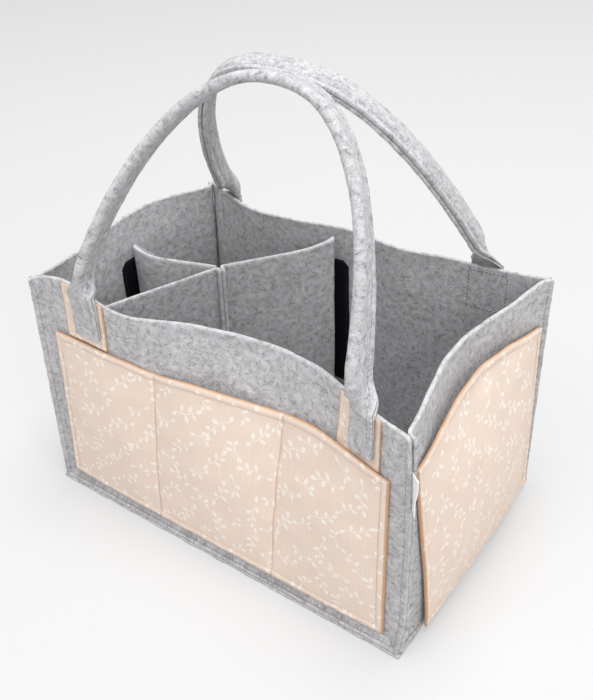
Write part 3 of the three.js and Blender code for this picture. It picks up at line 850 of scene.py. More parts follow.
def base_piece():
    """The felt floor, a flat sheet cut to the whole footprint."""
    x = np.linspace(-1, 1, 110) * LENGTH / 2
    y = np.linspace(-1, 1, 72) * DEPTH / 2
    grid_x, grid_y = np.meshgrid(x, y)
    ragged = ripple(5, 18.0, 0.3)
    grow = 1 - 0.9 / (LENGTH / 2)
    rim_x = grid_x * grow + np.sign(grid_x) * ragged(grid_y, 0.0) * (np.abs(grid_x) > LENGTH / 2 - 1)
    rim_y = grid_y * grow + np.sign(grid_y) * ragged(grid_x, 9.0) * (np.abs(grid_y) > DEPTH / 2 - 1)
    swell = ripple(6, 60.0, 0.12)(grid_x, grid_y)
    top = np.stack([rim_x, rim_y, FELT + swell * 0.5 - 0.1], -1)
    bottom = np.stack([rim_x, rim_y, np.zeros_like(rim_x)], -1)
    edges = np.minimum(LENGTH / 2 - np.abs(grid_x), DEPTH / 2 - np.abs(grid_y))
    cloth = Cloth()
    cloth.sheet(top, bottom, np.stack([grid_x, grid_y], -1), edges, round_by=0.4)
    return cloth.piece("base", [felt], "felt", "base_panel")


# Pockets

HEM = 5.2
HEM_MIDDLE = 2.3
HEM_ROUND = 2.9
HEM_HEIGHT = 1.1
POCKET_SHEET = 1.5
DROOP_REACH = 22.0
MOUTH_START = 0.45
FLARE_FALL = 1.5
CORNER_LIFT = 1.3


def hem_profile(edge):
    """How far a folded hem stands proud, at a distance from the cloth's edge."""
    return np.where(edge < HEM, rounded(edge, HEM_MIDDLE, HEM_ROUND), 0.0)


FRONT_POCKET = {
    "margins": (11.5, 8.0), "lift": 14.0, "drop": 43.0, "arch": 0.0, "flare": 0.0, "slants": (-6.0, 0.0),
    "bulges": (7.0, 9.0, 9.0), "fullness": 0.7, "mouths": (0.15, 0.6, 0.4), "rises": (1.0, 0.0, 6.0),
    "seams": (-52.0, 58.0), "droops": (3.0, 0.0),
}
RIGHT_POCKET = {
    "margins": (10.0, 2.0), "lift": 7.0, "drop": 38.0, "arch": 18.0, "flare": 4.0, "slants": (13.0, 0.0),
    "bulges": (9.0,), "fullness": 0.35, "mouths": (1.0,), "rises": (0.0,), "seams": (), "droops": (),
}
MIRRORED = {name: RIGHT_POCKET[name][::-1] for name in ("margins", "slants")}
POCKETS = {"front": FRONT_POCKET, "right": RIGHT_POCKET, "left": {**RIGHT_POCKET, **MIRRORED}}


def pocket_piece(side, seed):
    """A lined pocket: hemmed all round, sewn down at the sides, bottom and cell seams, open at the top."""
    wall = walls[side]
    size = POCKETS[side]
    seams = size["seams"]
    start = size["margins"][0] - wall.half
    end = wall.half - size["margins"][1]
    marks = np.array([start, *seams, end])
    hem_steps = np.array([0, 0.5, 1.2, 2.3, 3.5, 4.4, 5.0, 5.5, 6.2, 7.2])
    middle = np.linspace(start + 9, end - 9, int((end - start) / 2.2))
    across = np.concatenate([start + hem_steps, middle, end - hem_steps])
    for seam in seams:
        fold = seam + np.array([-1.5, -0.7, 0, 0.7, 1.5])
        across = np.concatenate([across[np.abs(across - seam) > 1.8], fold])
    across = np.sort(across)
    low = size["lift"]
    tall = HEIGHT - size["drop"] - low
    between = np.linspace(9 / tall, 1 - 9 / tall, int(tall / 2.6))
    up = np.concatenate([hem_steps / tall, between, 1 - hem_steps[::-1] / tall])
    s, v = np.meshgrid(across, up)
    cell = np.clip(np.searchsorted(marks, s, side="left") - 1, 0, len(size["bulges"]) - 1)
    a = (s - marks[cell]) / (marks[cell + 1] - marks[cell])
    swell = 4 * a * (1 - a)
    share = 2 * (s - start) / (end - start) - 1
    top = low + tall + size["arch"] * (1 - share ** 2) + np.array(size["rises"])[cell] * swell
    for seam, droop in zip(seams, size["droops"]):
        top = top - dent(s - seam, DROOP_REACH, droop)
    z = low + (top - low) * v
    mouth = 1 - (1 - np.array(size["mouths"])[cell]) * smooth((v - MOUTH_START) / (1 - MOUTH_START))
    bulge = np.array(size["bulges"])[cell] * swell * np.maximum(v, 0) ** size["fullness"] * mouth
    bulge = bulge + size["flare"] * share ** 4 * np.maximum(0, 1 - v) ** FLARE_FALL
    bulge = bulge + CORNER_LIFT * smooth((np.abs(s) - wall.half + SEAM_BEND + 3) / SEAM_BEND)
    sides = np.minimum(s - start, end - s)
    edges = np.minimum(sides, np.minimum(z - low, top - z))
    pucker = ripple(seed, 7.0, 0.16)(s, z) * smooth(1 - (edges - 3) / 9)
    rumple = ripple(seed + 1, 34.0, 0.5)(s, z) * smooth((edges - 4) / 20)
    seam_gap = np.min([np.full_like(s, 99.0), *(np.abs(s - seam) for seam in seams)], axis=0)
    sewn = dent(seam_gap, 1.1, 0.8) + dent(edges - HEM, 0.45, 0.35)
    inner_offset = FELT + SEWN_GAP + bulge
    outer_offset = inner_offset + POCKET_SHEET + hem_profile(edges) * HEM_HEIGHT
    outer_offset = outer_offset + pucker + rumple * 0.5 - sewn
    narrowed = (1 - np.clip(v, 0, 1)) ** FLARE_FALL / 2
    drawn = s + narrowed * (size["slants"][0] * (1 - share) - size["slants"][1] * (1 + share))
    outer = wall.point(drawn, z, outer_offset)
    inner = wall.point(drawn, z, inner_offset)
    cloth = Cloth()
    # Distances for the cotton's painted edge shade: along the edges, the cell seams and the hems' sewn
    # lines, and a little less on the top rim, where light from above falls
    edge_shade_distance = np.minimum(sides, np.minimum(z - low, top - z + 0.9))
    edge_shade_distance = np.minimum(edge_shade_distance, np.minimum(seam_gap * 0.8 + 0.6, np.abs(sides - HEM) * 0.9 + 0.8))
    cloth.sheet(outer, inner, np.stack([s + 310.0 * seed, z], -1), edge_shade_distance, round_by=0.9)
    left, right = (nearest(across, at) for at in (start + HEM, end - HEM))
    foot, head = (nearest(up, at) for at in (HEM / tall, 1 - HEM / tall))
    rows = [outer[foot:head, column] for column in (left, right)]
    rows += [outer[row, left:right] for row in (foot, head)]
    rows += [outer[:, nearest(across, seam)] for seam in seams]
    for line in rows:
        cloth.stitches(line, wall.out, 1, pitch=2.9, length=2.2, radius=0.2)
    node = f"{side}_pocket"
    made = cloth.piece(f"{node}_cloth", [cotton, peach_thread], "cotton", node)
    flat = ((end - start) * MM, (tall + size["arch"]) * MM)
    return made


def patch_piece(wall, centre, node, seed):
    """A small hemmed patch under a strap's foot; on the back its top stays below the wall's edge."""
    reach = FOOT_WIDTH / 2 + PATCH_BORDER
    bottom = HEIGHT - FOOT_DROP - PATCH_DROP
    top = HEIGHT - (3.0 if wall.name == "back" else 0.2)
    s, z = np.meshgrid(np.linspace(-reach, reach, 40), np.linspace(bottom, top, 42))
    edges = np.minimum(np.minimum(s + reach, reach - s), z - bottom)
    roll = rounded(edges, 1.8, 2.2) * (edges < 4)
    pucker = ripple(seed, 6.0, 0.1)(s, z)
    outer = wall.point(centre + s, z, PATCH_OFFSET + 0.75 + 0.45 * roll + pucker * (edges < 5))
    inner = wall.point(centre + s, z, np.full_like(s, PATCH_OFFSET))
    cloth = Cloth()
    cloth.sheet(outer, inner, np.stack([s + 37.0 * seed, z + 11.0 * seed], -1), edges, round_by=0.8)
    made = cloth.piece(f"{node}_cloth", [cotton], "cotton", node)
    return made


# Straps

# How a strap leaves each foot: which way it turns, over what height, the twist held above that,
# how far it is gathered, the foot's shift, the strap's lean above it and the foot's width
Foot = namedtuple("Foot", "side height hold gather shift lean width")


class Strap:
    """A felt strip folded in half and sewn along its open edge, flat on the wall at its two feet."""

    def __init__(self, wall, insets, rise, sway, curl, spread, soles):
        self.wall = wall
        self.spread = spread
        self.soles = soles
        self.ends = (insets[0] - wall.half, wall.half - insets[1])
        self.rise = rise
        self.sway = sway
        self.curl = curl

    def line(self, angle):
        offset = FOOT_OFFSET + FOOT_THICKNESS / 2
        start, end = self.wall.point(np.array(self.ends), HEIGHT, offset)
        middle = (start + end) / 2
        target = math.copysign(HANDLE_TOP_SPACING / 2, middle[1])
        climb = np.maximum(0, np.sin(angle)) ** ARCH_CLIMB
        across = np.sign(np.cos(angle)) * np.abs(np.cos(angle)) ** self.spread
        share = (0.5 - 0.5 * across)[:, None]
        inward = (target - middle[1]) * climb ** self.curl
        shift = np.stack([self.sway * climb, inward, self.rise * climb], -1)
        return start + (end - start) * share + shift + UP * SEWN_GAP

    def foot_inward(self, s):
        before, after = self.wall.point(np.array([s - 1, s + 1]), HEIGHT, 0)
        return unit(np.cross(UP, after - before))

    def rings(self):
        """Places, width and thickness directions and sizes of the sections along the free arch."""
        share = np.arange(STRAP_STEPS + 1) / STRAP_STEPS
        angle = np.pi * share - 0.6 * np.sin(2 * np.pi * share) / 2
        points = self.line(angle)
        ahead = unit(self.line(angle + 0.01) - self.line(angle - 0.01))
        rising = (share < 0.5)[:, None]
        soles = (np.where(rising, *ends) for ends in zip(*self.soles))
        side, height, hold, gather, shift, lean, width = soles
        above = points[:, 2:] - np.where(rising, points[0, 2], points[-1, 2])
        free = smooth(above / height)
        upright = np.where(rising, UP, -UP)
        along = unit(upright * (1 - free) + ahead * free)
        tilted = unit(self.wall.along * -math.sin(HANDLE_YAW) + self.wall.out * -math.cos(HANDLE_YAW)
                      - UP * math.tan(HANDLE_TILT))
        square = np.where(rising, self.foot_inward(self.ends[0]), self.foot_inward(self.ends[1]))
        inward = square * (1 - free) + tilted * free
        inward = unit(inward - along * np.sum(inward * along, -1, keepdims=True))
        outward = np.cross(along, inward)
        held = np.radians(hold)
        turn = side * ((1 - free) * (np.pi / 2 - held) + held * (1 - smooth(above / HOLD_HEIGHT)))
        wide = inward * np.cos(turn) + outward * np.sin(turn)
        thick = outward * np.cos(turn) - inward * np.sin(turn)
        aside = shift * (1 - smooth(above / SHIFT_HEIGHT))
        aside = aside + lean * smooth(above / LEAN_LOW) * (1 - smooth(above / LEAN_HIGH))
        points = points + self.wall.along * aside
        drawn_in = HANDLE_WIDTH - STRAP_WAIST * (1 - free) - gather * np.sin(np.pi * free)
        widths = drawn_in + (width - drawn_in) * (1 - smooth(above / WAIST_HEIGHT))
        return points, wide, thick, free[:, 0], widths[:, 0]


STRAP_STEPS = 180
SLIT = 0.55
STRAP_STITCH = 4.8
PRESSED_FOOT = 3.4
PRESS_HEIGHT = 9.0
END_TRIM = 0.93
SHIFT_HEIGHT = 26.0
HOLD_HEIGHT = 110.0
LEAN_LOW = 16.0
LEAN_HIGH = 120.0
STRAP_WAIST = 2.2
WAIST_HEIGHT = 14.0


# Places in the strap's section: inside the slit, its lip, the sewn groove and the fold
SLIT_POINT = 0
LIP_POINT = 3
GROOVE_POINT = 9
FOLD_POINT = 17


def strap_outline(width, thickness):
    """Section of the folded strip: a round fold, two faces with a sewn groove, and two cut lips.

    Each point has its place across and up, and its distance from the cut edge.
    """
    half = width / 2
    loft = thickness / 2
    groove = min(0.9, loft * 0.3)
    lip = loft * 0.88
    sewn = half - STRAP_STITCH
    face = [
        (half - 3.4, 0.0, 3.0),
        (half - 1.2, SLIT * 0.7, 1.2),
        (half - 0.25, SLIT, 0.2),
        (half, SLIT + 0.35, 0.0),
        (half, lip - 0.5, 0.0),
        (half - 0.3, lip - 0.08, 0.2),
        (half - 1.6, lip, 1.5),
        (half - 3.2, lip - 0.15, 3.0),
        (sewn + 0.7, loft * 0.9 - groove * 0.5, 4.0),
        (sewn, loft * 0.9 - groove, 5.0),
        (sewn - 0.7, loft * 0.9 - groove * 0.5, 6.0),
        (sewn - 2.2, loft * 0.95, 8.0),
        (half * 0.1, loft, FAR_IN),
        (-half * 0.35, loft, FAR_IN),
        (loft - half, loft * 0.97, FAR_IN),
        (loft * 0.45 - half, loft * 0.78, FAR_IN),
        (loft * 0.12 - half, loft * 0.42, FAR_IN),
        (-half, 0.0, FAR_IN),
    ]
    mirrored = [(across, -up, edge) for across, up, edge in face[-2:0:-1]]
    return np.array(face + mirrored)


def strap_piece(strap, side):
    """The whole strip from foot to foot; it bends where a foot meets the wall's top edge."""
    wall = strap.wall
    points, wide, thick, free, widths = strap.rings()
    rings = []
    edges = []
    for point, across, up, share, width in zip(points, wide, thick, free, widths):
        thickness = FOOT_THICKNESS + (HANDLE_THICKNESS - FOOT_THICKNESS) * share
        outline = strap_outline(width, thickness)
        rings.append(point + outline[:, :1] * across + outline[:, 1:2] * up)
        edges.append(outline[:, 2])
    flat = strap_outline(FOOT_WIDTH, FOOT_THICKNESS)
    last = FOOT_DROP - np.array([0.6, 0.1])
    drops = np.concatenate([[0.15, 0.6], np.linspace(2.5, FOOT_DROP - 3, 13), last])
    trim = np.ones(len(drops))
    trim[-1] = END_TRIM
    for end, (centre, sole) in enumerate(zip(strap.ends, strap.soles)):
        hand = -1 if end == 0 else 1
        pressed = strap_outline(sole.width, FOOT_THICKNESS)
        foot = []
        for drop, keep in zip(drops, trim):
            s = centre + sole.shift + hand * sole.side * pressed[:, 0] * keep
            loft = PRESSED_FOOT + (FOOT_THICKNESS - PRESSED_FOOT) * smooth(1 - drop / PRESS_HEIGHT)
            out = sole.side * pressed[:, 1] * keep * loft / FOOT_THICKNESS
            offset = FOOT_OFFSET - SEWN_GAP + loft / 2 + out
            foot.append(wall.point(s, np.full_like(s, HEIGHT - drop), offset))
        ends = [np.minimum(flat[:, 2], FOOT_DROP - drop) for drop in drops]
        rings = foot[::-1] + rings if end == 0 else rings + foot
        edges = ends[::-1] + edges if end == 0 else edges + ends
    rings = np.array(rings)
    middle = rings.mean(axis=1)
    girth = running(np.concatenate([flat[-1:, :2], flat[:, :2]]))[1:]
    felted = ripple(200 + len(side), 9.0, 0.22)
    grid_r, grid_g = np.meshgrid(running(middle), girth, indexing="ij")
    outward = unit(rings - middle[:, None])
    rings = rings + outward * felted(grid_r, grid_g)[..., None]
    shift = np.array([0.0, 900.0 + 100 * len(side)])
    cloth = Cloth()
    cloth.tube(rings, np.stack([grid_r, grid_g], -1) + shift, np.array(edges))
    for column in (GROOVE_POINT, len(flat) - GROOVE_POINT):
        line = rings[:, column]
        normals = unit(line - (rings[:, SLIT_POINT] + rings[:, FOLD_POINT]) / 2)
        face = unit(np.cross(np.gradient(middle, axis=0), rings[:, LIP_POINT] - rings[:, FOLD_POINT]))
        face = face * np.sign(np.sum(face * normals, -1, keepdims=True))
        cloth.stitches(line[3:-3], face[3:-3], 1, pitch=3.6, length=2.7, radius=0.3)
    nodes = [f"{side}_handle", f"{side}_left_tab", f"{side}_right_tab"]
    return cloth.piece(f"{side}_strap_felt", [felt, grey_thread], "felt", *nodes)


FRONT_SOLES = (Foot(-1, 20, 0, 5.0, 3.2, 2.0, 24), Foot(1, 16, 28, 0, 3.2, -3.0, 22.5))
BACK_SOLES = (Foot(1, 34, 0, 0, 4.5, 0, 27), Foot(1, 24, 0, 0, 0, 0, 20.5))
STRAPS = {
    "front": Strap(walls["front"], (46.0, 36.0),
                   rise=164.5, sway=2.5, curl=1.25, spread=0.87, soles=FRONT_SOLES),
    "back": Strap(walls["back"], (43.0, 29.0),
                  rise=161.5, sway=-7.0, curl=0.86, spread=0.8, soles=BACK_SOLES),
}


# Hook and loop tape on the walls

LOOP_WIDTH = 28.0
LOOP_LENGTH = 130.0
LOOP_CORNER = 5.0
TAPE_CROWN = 0.5
BACK_END_X = 143.0 - INNER_X
LEFT_END_Y = 107.0 - INNER_Y
FRONT_END_X = 28.0 - INNER_X
LOOPS = {"back": (5.0 - BACK_END_X, 31.0), "left": (-LEFT_END_Y, 37.0), "front": (149.0 - INNER_X, 16.0)}


def loop_piece(side):
    """Loop tape sewn on the inside of a wall, its upper corners cut off."""
    wall = walls[side]
    node = f"{side}_loop_strip"
    centre, drop = LOOPS[side]
    half = LOOP_WIDTH / 2
    top = HEIGHT - drop
    s, v = np.meshgrid(np.linspace(-half, half, 30), np.linspace(0, 1, 60))
    cut = np.maximum(0, np.abs(s) - (half - LOOP_CORNER))
    z = top - LOOP_LENGTH + (LOOP_LENGTH - cut) * v
    edges = np.minimum(half - np.abs(s), np.minimum(z - top + LOOP_LENGTH, top - cut - z))
    crown = smooth(edges / 2.5) * TAPE_CROWN
    outer = wall.point(centre + s, z, -SEWN_GAP - TAPE + TAPE_CROWN - crown)
    inner = wall.point(centre + s, z, np.full_like(s, -SEWN_GAP))
    cloth = Cloth()
    cloth.sheet(outer, inner, np.stack([s, z], -1), edges, round_by=0.3)
    for column in (2, 27):
        cloth.stitches(outer[2:-2, column], -wall.out, 1, radius=0.22)
    made = cloth.piece(f"{node}_tape", [loop_tape, black_thread], "tape", node)
    return made


# Divider: three legs sewn together in one upright ridge

JOIN = np.array([77.0 - INNER_X, 117.0 - INNER_Y])
JOIN_DROP = 21.0
RIDGE = 6.0
RIDGE_TURN = math.radians(-30)
RIDGE_WAY = np.array([math.cos(RIDGE_TURN), math.sin(RIDGE_TURN)])
RIDGE_SIDE = np.array([-RIDGE_WAY[1], RIDGE_WAY[0]])
TAB_WIDTH = 22.0
TAPE_STACK = 3 * SEWN_GAP + 2 * TAPE + FELT / 2
FREE_STACK = 2 * SEWN_GAP + TAPE + FELT / 2
BACK_KNEE = np.array([132.0 - INNER_X, INNER_Y - 36.0])
LEFT_KNEE = np.array([14.0 - INNER_X, 101.0 - INNER_Y])
KNEE_BEND = 60.0
TAB_BEND = 2.0
JOIN_BEND = 2.5
TAB_SLANT = 18.0
BEND_ROOM = 0.45
HOOK_LENGTH = 90.0
HOOK_INSET = 5.0
HOOK_TOP_INSET = 2.0

# Each leg: how far its end lies below the top, its cloth's seed, which face shows the ridge's sewing
# and which face its hook tape is on
Leg = namedtuple("Leg", "end_drop seed ridge hook")
LEGS = {"back": Leg(7.0, 21, 1, 1), "front": Leg(27.0, 22, -1, -1), "left": Leg(24.0, 23, 0, -1)}


def plan_path(points, radii):
    """A plan path through points with rounded corners, evenly filled, always with the same count."""
    path = [points[0]]
    for k in range(1, len(points) - 1):
        arms = (points[k - 1] - points[k], points[k + 1] - points[k])
        room = BEND_ROOM * min(np.linalg.norm(arm) for arm in arms)
        before, after = (unit(arm) for arm in arms)
        opening = math.acos(float(np.clip(before @ after, -1, 1)))
        reach = min(radii[k - 1] / math.tan(opening / 2), room)
        start = points[k] + before * reach
        end = points[k] + after * reach
        path.extend(path[-1] + (start - path[-1]) * t for t in np.linspace(0, 1, 14)[1:-1])
        for t in np.linspace(0, 1, 9):
            path.append((1 - t) ** 2 * start + 2 * t * (1 - t) * points[k] + t ** 2 * end)
    path.extend(path[-1] + (points[-1] - path[-1]) * t for t in np.linspace(0, 1, 14)[1:])
    return np.array(path)


def beside_wall(wall, s, z, stack):
    return wall.point(np.array(s), np.array(z), -stack)[:2]


def tab(side, z):
    """Plan places of the bend and the end of a leg's tab; the left one follows its wall's lean."""
    wall = walls[side]
    if side == "left":
        return [beside_wall(wall, -y, z, TAPE_STACK) for y in (LEFT_END_Y, LEFT_END_Y + TAB_WIDTH)]
    if side == "back":
        return [beside_wall(wall, -x, HEIGHT, TAPE_STACK) for x in (BACK_END_X, BACK_END_X - TAB_WIDTH)]
    ends = (FRONT_END_X, FRONT_END_X - TAB_WIDTH)
    line = max(beside_wall(wall, x, HEIGHT, FREE_STACK)[1] for x in ends)
    return [np.array([x, line]) for x in ends]


def ridge_start(side):
    root = JOIN + RIDGE_SIDE * side * (FELT + SEWN_GAP) / 2
    return [root + RIDGE_WAY * RIDGE, root]


def leg_path(side, z):
    """Plan path of a leg's mid-sheet, from the ridge to the end of its tab."""
    ends = tab(side, z)
    if side == "back":
        return plan_path([*ridge_start(1), BACK_KNEE, *ends], [JOIN_BEND, KNEE_BEND, TAB_BEND])
    if side == "front":
        return plan_path([*ridge_start(-1), *ends], [JOIN_BEND, TAB_BEND])
    start = JOIN + unit(LEFT_KNEE - JOIN) * (FELT + 2 * SEWN_GAP)
    return plan_path([start, LEFT_KNEE, *ends], [KNEE_BEND, TAB_BEND])


def upright(path_at, thickness, low, top_at, rows, seed, soft=1.0):
    """Grids of the two faces of an upright sheet, with its cloth coordinates and edge distances."""
    base = path_at(low)
    run = running(base)
    top = top_at(run)
    levels = np.concatenate([np.linspace(0, 0.97, rows), [0.985, 1.0]])
    z = low + (top[None] - low) * levels[:, None]
    paths = np.array([path_at(low + (top.mean() - low) * level) for level in levels])
    grid_s = np.tile(run, (len(levels), 1))
    fuzz = ripple(seed, 9.0, 0.1 * soft)(grid_s, z)
    swell = ripple(seed + 1, 60.0, 0.25 * soft)(grid_s, z) * np.sin(np.pi * run / run[-1])[None]
    near = side_offset(paths, thickness / 2 + fuzz + swell)
    far = side_offset(paths, -thickness / 2 - fuzz * 0.7 + swell)
    outer = np.concatenate([near, z[..., None]], -1)
    inner = np.concatenate([far, z[..., None]], -1)
    edges = np.minimum(np.minimum(grid_s, run[-1] - grid_s), top[None] - z)
    return outer, inner, np.stack([grid_s, z], -1), edges


def leg_piece(side):
    """One leg of the divider, whose top runs straight from the ridge to a tab cut on a slant."""
    leg = LEGS[side]

    def path_at(z):
        return leg_path(side, z)

    def top_at(run):
        tab_length = TAB_WIDTH - 2
        tab_start = run[-1] - tab_length
        slope = JOIN_DROP + (leg.end_drop - JOIN_DROP) * np.minimum(1, run / tab_start)
        return HEIGHT - slope - TAB_SLANT * np.clip((run - tab_start) / tab_length, 0, 1)

    cloth = Cloth()
    outer, inner, places, edges = upright(path_at, FELT, WALL_BOTTOM, top_at, 52, leg.seed)
    cloth.sheet(outer, inner, places + np.array([0.0, 300.0 * leg.seed]), edges)
    if leg.ridge:
        face, other = (outer, inner) if leg.ridge > 0 else (inner, outer)
        column = nearest(places[0, :, 0], RIDGE * 0.55)
        cloth.stitches(face[1:-2, column], unit(face - other)[1:-2, column], 1)
    return cloth.piece(f"{side}_divider_felt", [felt, grey_thread], "felt", f"{side}_divider")


def hook_piece(side):
    """Hook tape on the wall side of a leg's end tab."""
    leg = LEGS[side]
    node = f"{side}_hook_strip"
    top = HEIGHT - leg.end_drop - TAB_SLANT - HOOK_TOP_INSET
    steps = 14

    def path_at(z):
        bend, end = tab(side, z)
        start = bend + (end - bend) * HOOK_INSET / TAB_WIDTH
        line = start + (end - start) * np.linspace(0, 1, steps)[:, None]
        return side_offset(line, np.full(steps, leg.hook * (FELT / 2 + SEWN_GAP + TAPE / 2)))

    def top_at(run):
        return np.full_like(run, top)

    outer, inner, places, edges = upright(path_at, TAPE, top - HOOK_LENGTH, top_at, 40, 9, 0.2)
    cloth = Cloth()
    cloth.sheet(outer, inner, places, edges, round_by=0.3)
    made = cloth.piece(f"{node}_tape", [hook_tape], "tape", node)
    return made


# Tag

TAG_LENGTH = 9.0
TAG_HEIGHT = 31.0
TAG_THICKNESS = 0.8
TAG_DROP = 26.0
TAG_TURN = math.radians(38)
TAG_PLY = 0.3


def tag_piece():
    """A blank ribbon folded in half, its ends held in the corner seam."""
    way = np.array([math.sin(TAG_TURN), -math.cos(TAG_TURN), 0.0])
    beside = np.array([math.cos(TAG_TURN), math.sin(TAG_TURN), 0.0])
    corner = np.array([INNER_X, INNER_Y])
    tip = corner + FLANGE * COS_45
    z = HEIGHT - TAG_DROP - TAG_HEIGHT + np.linspace(0, TAG_HEIGHT, 32)
    tips = [turned(tip, -seam_swing(height), corner + SEAM_PIVOT) for height in z]
    root = np.concatenate([np.array(tips) * [1, -1], z[:, None]], -1)
    apart = (TAG_THICKNESS - TAG_PLY) / 2
    out = np.linspace(0, TAG_LENGTH - TAG_THICKNESS / 2, 16)
    turn = np.linspace(0, math.pi, 9)[1:-1]
    going = np.stack([out, np.full_like(out, apart)], -1)
    fold = np.stack([out[-1] + apart * np.sin(turn), apart * np.cos(turn)], -1)
    ply = np.concatenate([going, fold, going[::-1] * [1, -1]])
    level = z - z[0]
    upper = smooth((level - 0.3 * TAG_HEIGHT) / (0.5 * TAG_HEIGHT))[:, None]

    def face(offset):
        line = side_offset(ply, np.full(len(ply), offset))
        curl = 2.2 * upper * (np.maximum(line[:, 0], 0) / TAG_LENGTH) ** 1.5 + line[:, 1]
        return root[:, None] + (line[:, :1] * way)[None] + curl[..., None] * beside

    places = np.stack(np.meshgrid(running(ply), level), -1)
    edges = np.full(places.shape[:2], FAR_IN)
    cloth = Cloth()
    cloth.sheet(face(-TAG_PLY / 2), face(TAG_PLY / 2), places, edges, round_by=0.2)
    made = cloth.piece("seam_tag_ribbon", [ribbon], "label", "seam_tag")
    return made


# Everything that rides on the caddy's body

BODY = "caddy_body"
for wall in walls.values():
    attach(wall_piece(wall), BODY)
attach(base_piece(), BODY)
for seed, side in enumerate(POCKETS, start=1):
    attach(pocket_piece(side, seed), BODY)
for side, strap in STRAPS.items():
    for hand, centre in zip(("left", "right"), strap.ends):
        patch = patch_piece(strap.wall, centre, f"{side}_{hand}_patch", len(side) + len(hand))
        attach(patch, BODY)
for side in LOOPS:
    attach(loop_piece(side), BODY)
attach(tag_piece(), BODY)

# The divider
INSERT = "divider_insert"
for side in ("back", "front", "left"):
    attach(leg_piece(side), INSERT)
for side in ("back", "left", "front"):
    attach(hook_piece(side), INSERT)

# The straps, each one strip from its sewn feet over the free arch
for side, strap in STRAPS.items():
    made = strap_piece(strap, side)
    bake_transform(made)

# Studio: pale floor, soft light and the photograph's camera, in metres

FLOOR_NEAR = (0.61, 0.612, 0.616)
# The floor's far part is painted a shade darker, painted shade for the light falling off behind the object
FLOOR_FAR_SHADED = (0.60, 0.60, 0.603)
SHADE_START = 0.22
SHADE_END = 0.40
SHADOW_DEPTH = 0.6
FLOOR_LIFT = 0.375
FLOOR_REACH = 6.0
BACKDROP_START = 2.2
BACKDROP_BEND = 0.6
BACKDROP_HEIGHT = 4.0
WORLD_STRENGTH = 0.62
Lamp = namedtuple("Lamp", "name place target size power")
LAMPS = (
    Lamp("key", (-0.6, -1.6, 2.2), (0, 0, 0.1), 1.6, 15.0),
    Lamp("fill", (1.9, -0.9, 1.5), (0, 0, 0.1), 1.6, 19.5),
    Lamp("top", (0.1, 0.1, 2.4), (0, 0, 0.1), 1.5, 38.0),
    Lamp("back", (0.2, 1.8, 1.9), (0, 0.6, 0), 1.6, 7.0),
)


def backdrop_material(name):
    """A pale floor with painted shade that darkens it a little behind the object, and that takes the
    object's shadow softly.
    """
    material, shader = new_material(name, roughness=0.9, specular=0.1)
    nodes = material.node_tree.nodes
    place = nodes.new("ShaderNodeTexCoord")
    spun = nodes.new("ShaderNodeVectorRotate")
    spun.rotation_type = "Z_AXIS"
    fill(spun, {"Vector": place.outputs["Object"], "Angle": -CAMERA_AZIMUTH})
    depth = fill(nodes.new("ShaderNodeSeparateXYZ"), {0: spun.outputs["Vector"]})
    shade = mixed(Num(depth.outputs["Y"]).above(SHADE_START, SHADE_END), FLOOR_NEAR, FLOOR_FAR_SHADED)
    path = nodes.new("ShaderNodeLightPath")
    seen = Num(path.outputs["Is Camera Ray"])
    for kind in ("Is Glossy Ray", "Is Transmission Ray"):
        seen = seen.larger(Num(path.outputs[kind]))
    muted = nodes.new("ShaderNodeVectorMath")
    muted.operation = "SCALE"
    fill(muted, {0: shade, "Scale": 1.0 - seen * (1 - SHADOW_DEPTH)})
    fill(shader, {"Base Color": muted.outputs["Vector"]})
    none, glow = (fill(nodes.new("ShaderNodeEmission"), {"Strength": power}) for power in (0.0, FLOOR_LIFT))
    pick = fill(nodes.new("ShaderNodeMixShader"), {"Fac": seen, 1: none.outputs[0], 2: glow.outputs[0]})
    total = fill(nodes.new("ShaderNodeAddShader"), {0: shader.outputs[0], 1: pick.outputs[0]})
    output = next(node for node in nodes if node.type == "OUTPUT_MATERIAL")
    fill(output, {"Surface": total.outputs[0]})
    return material


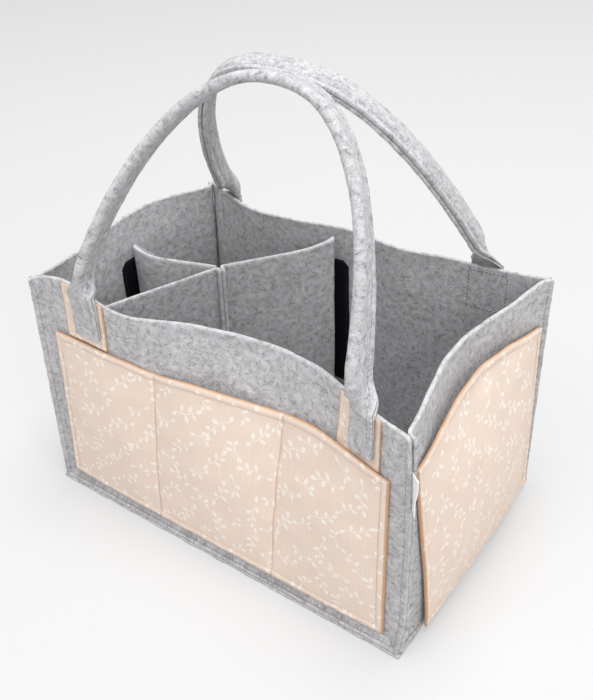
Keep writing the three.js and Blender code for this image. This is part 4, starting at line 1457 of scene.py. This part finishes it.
def make_floor():
    """A floor that sweeps up into a backdrop far behind the object."""
    angles = np.linspace(0, math.pi / 2, 14)
    across = BACKDROP_START + BACKDROP_BEND * np.sin(angles)
    upward = BACKDROP_BEND * (1 - np.cos(angles))
    top = (BACKDROP_START + BACKDROP_BEND, BACKDROP_HEIGHT)
    profile = [(-FLOOR_REACH, 0.0), *zip(across, upward), top]
    turn = Matrix.Rotation(CAMERA_AZIMUTH, 4, "Z")
    points = [turn @ Vector((x, y, z)) for y, z in profile for x in (-FLOOR_REACH, FLOOR_REACH)]
    faces = [(2 * k, 2 * k + 1, 2 * k + 3, 2 * k + 2) for k in range(len(profile) - 1)]
    mesh = bpy.data.meshes.new("floor")
    mesh.from_pydata(points, [], faces)
    mesh.polygons.foreach_set("use_smooth", [True] * len(faces))
    mesh.materials.append(backdrop_material("pale_floor"))
    floor = bpy.data.objects.new("floor", mesh)
    bpy.context.scene.collection.objects.link(floor)


def area_light(lamp):
    data = bpy.data.lights.new(lamp.name, "AREA")
    data.shape = "DISK"
    data.size = lamp.size
    data.energy = lamp.power
    made = bpy.data.objects.new(lamp.name, data)
    made.location = lamp.place
    made.rotation_euler = (Vector(lamp.target) - Vector(lamp.place)).to_track_quat("-Z", "Y").to_euler()
    bpy.context.scene.collection.objects.link(made)


def make_world():
    world = bpy.data.worlds.new("studio")
    bpy.context.scene.world = world
    world.use_nodes = True
    back = next(node for node in world.node_tree.nodes if node.type == "BACKGROUND")
    fill(back, {"Color": (1, 1, 1, 1), "Strength": WORLD_STRENGTH})


# Camera found from the corners of the 340 by 220 by 200 mm box in the 593 by 700 px photograph
CAMERA_AZIMUTH = math.radians(33.78)
CAMERA_ELEVATION = math.radians(31.6)
CAMERA_PLACE = (370.86, -490.48, 571.25)
FOCAL_PX = 938.81
CENTRE_PX = (335.92, 289.68)
PHOTO_PX = (593, 700)
SENSOR = 36.0


def make_camera():
    long_side = max(PHOTO_PX)
    data = bpy.data.cameras.new("camera")
    data.sensor_width = SENSOR
    data.lens = SENSOR * FOCAL_PX / long_side
    data.shift_x = (PHOTO_PX[0] / 2 - CENTRE_PX[0]) / long_side
    data.shift_y = (CENTRE_PX[1] - PHOTO_PX[1] / 2) / long_side
    data.clip_start = 0.01
    data.clip_end = 100
    camera = bpy.data.objects.new("camera", data)
    camera.location = Vector(CAMERA_PLACE) * MM
    camera.rotation_euler = (math.pi / 2 - CAMERA_ELEVATION, 0, CAMERA_AZIMUTH)
    bpy.context.scene.collection.objects.link(camera)
    bpy.context.scene.camera = camera


make_camera()
make_floor()
make_world()
for lamp in LAMPS:
    area_light(lamp)
bpy.context.scene.view_settings.view_transform = "Standard"
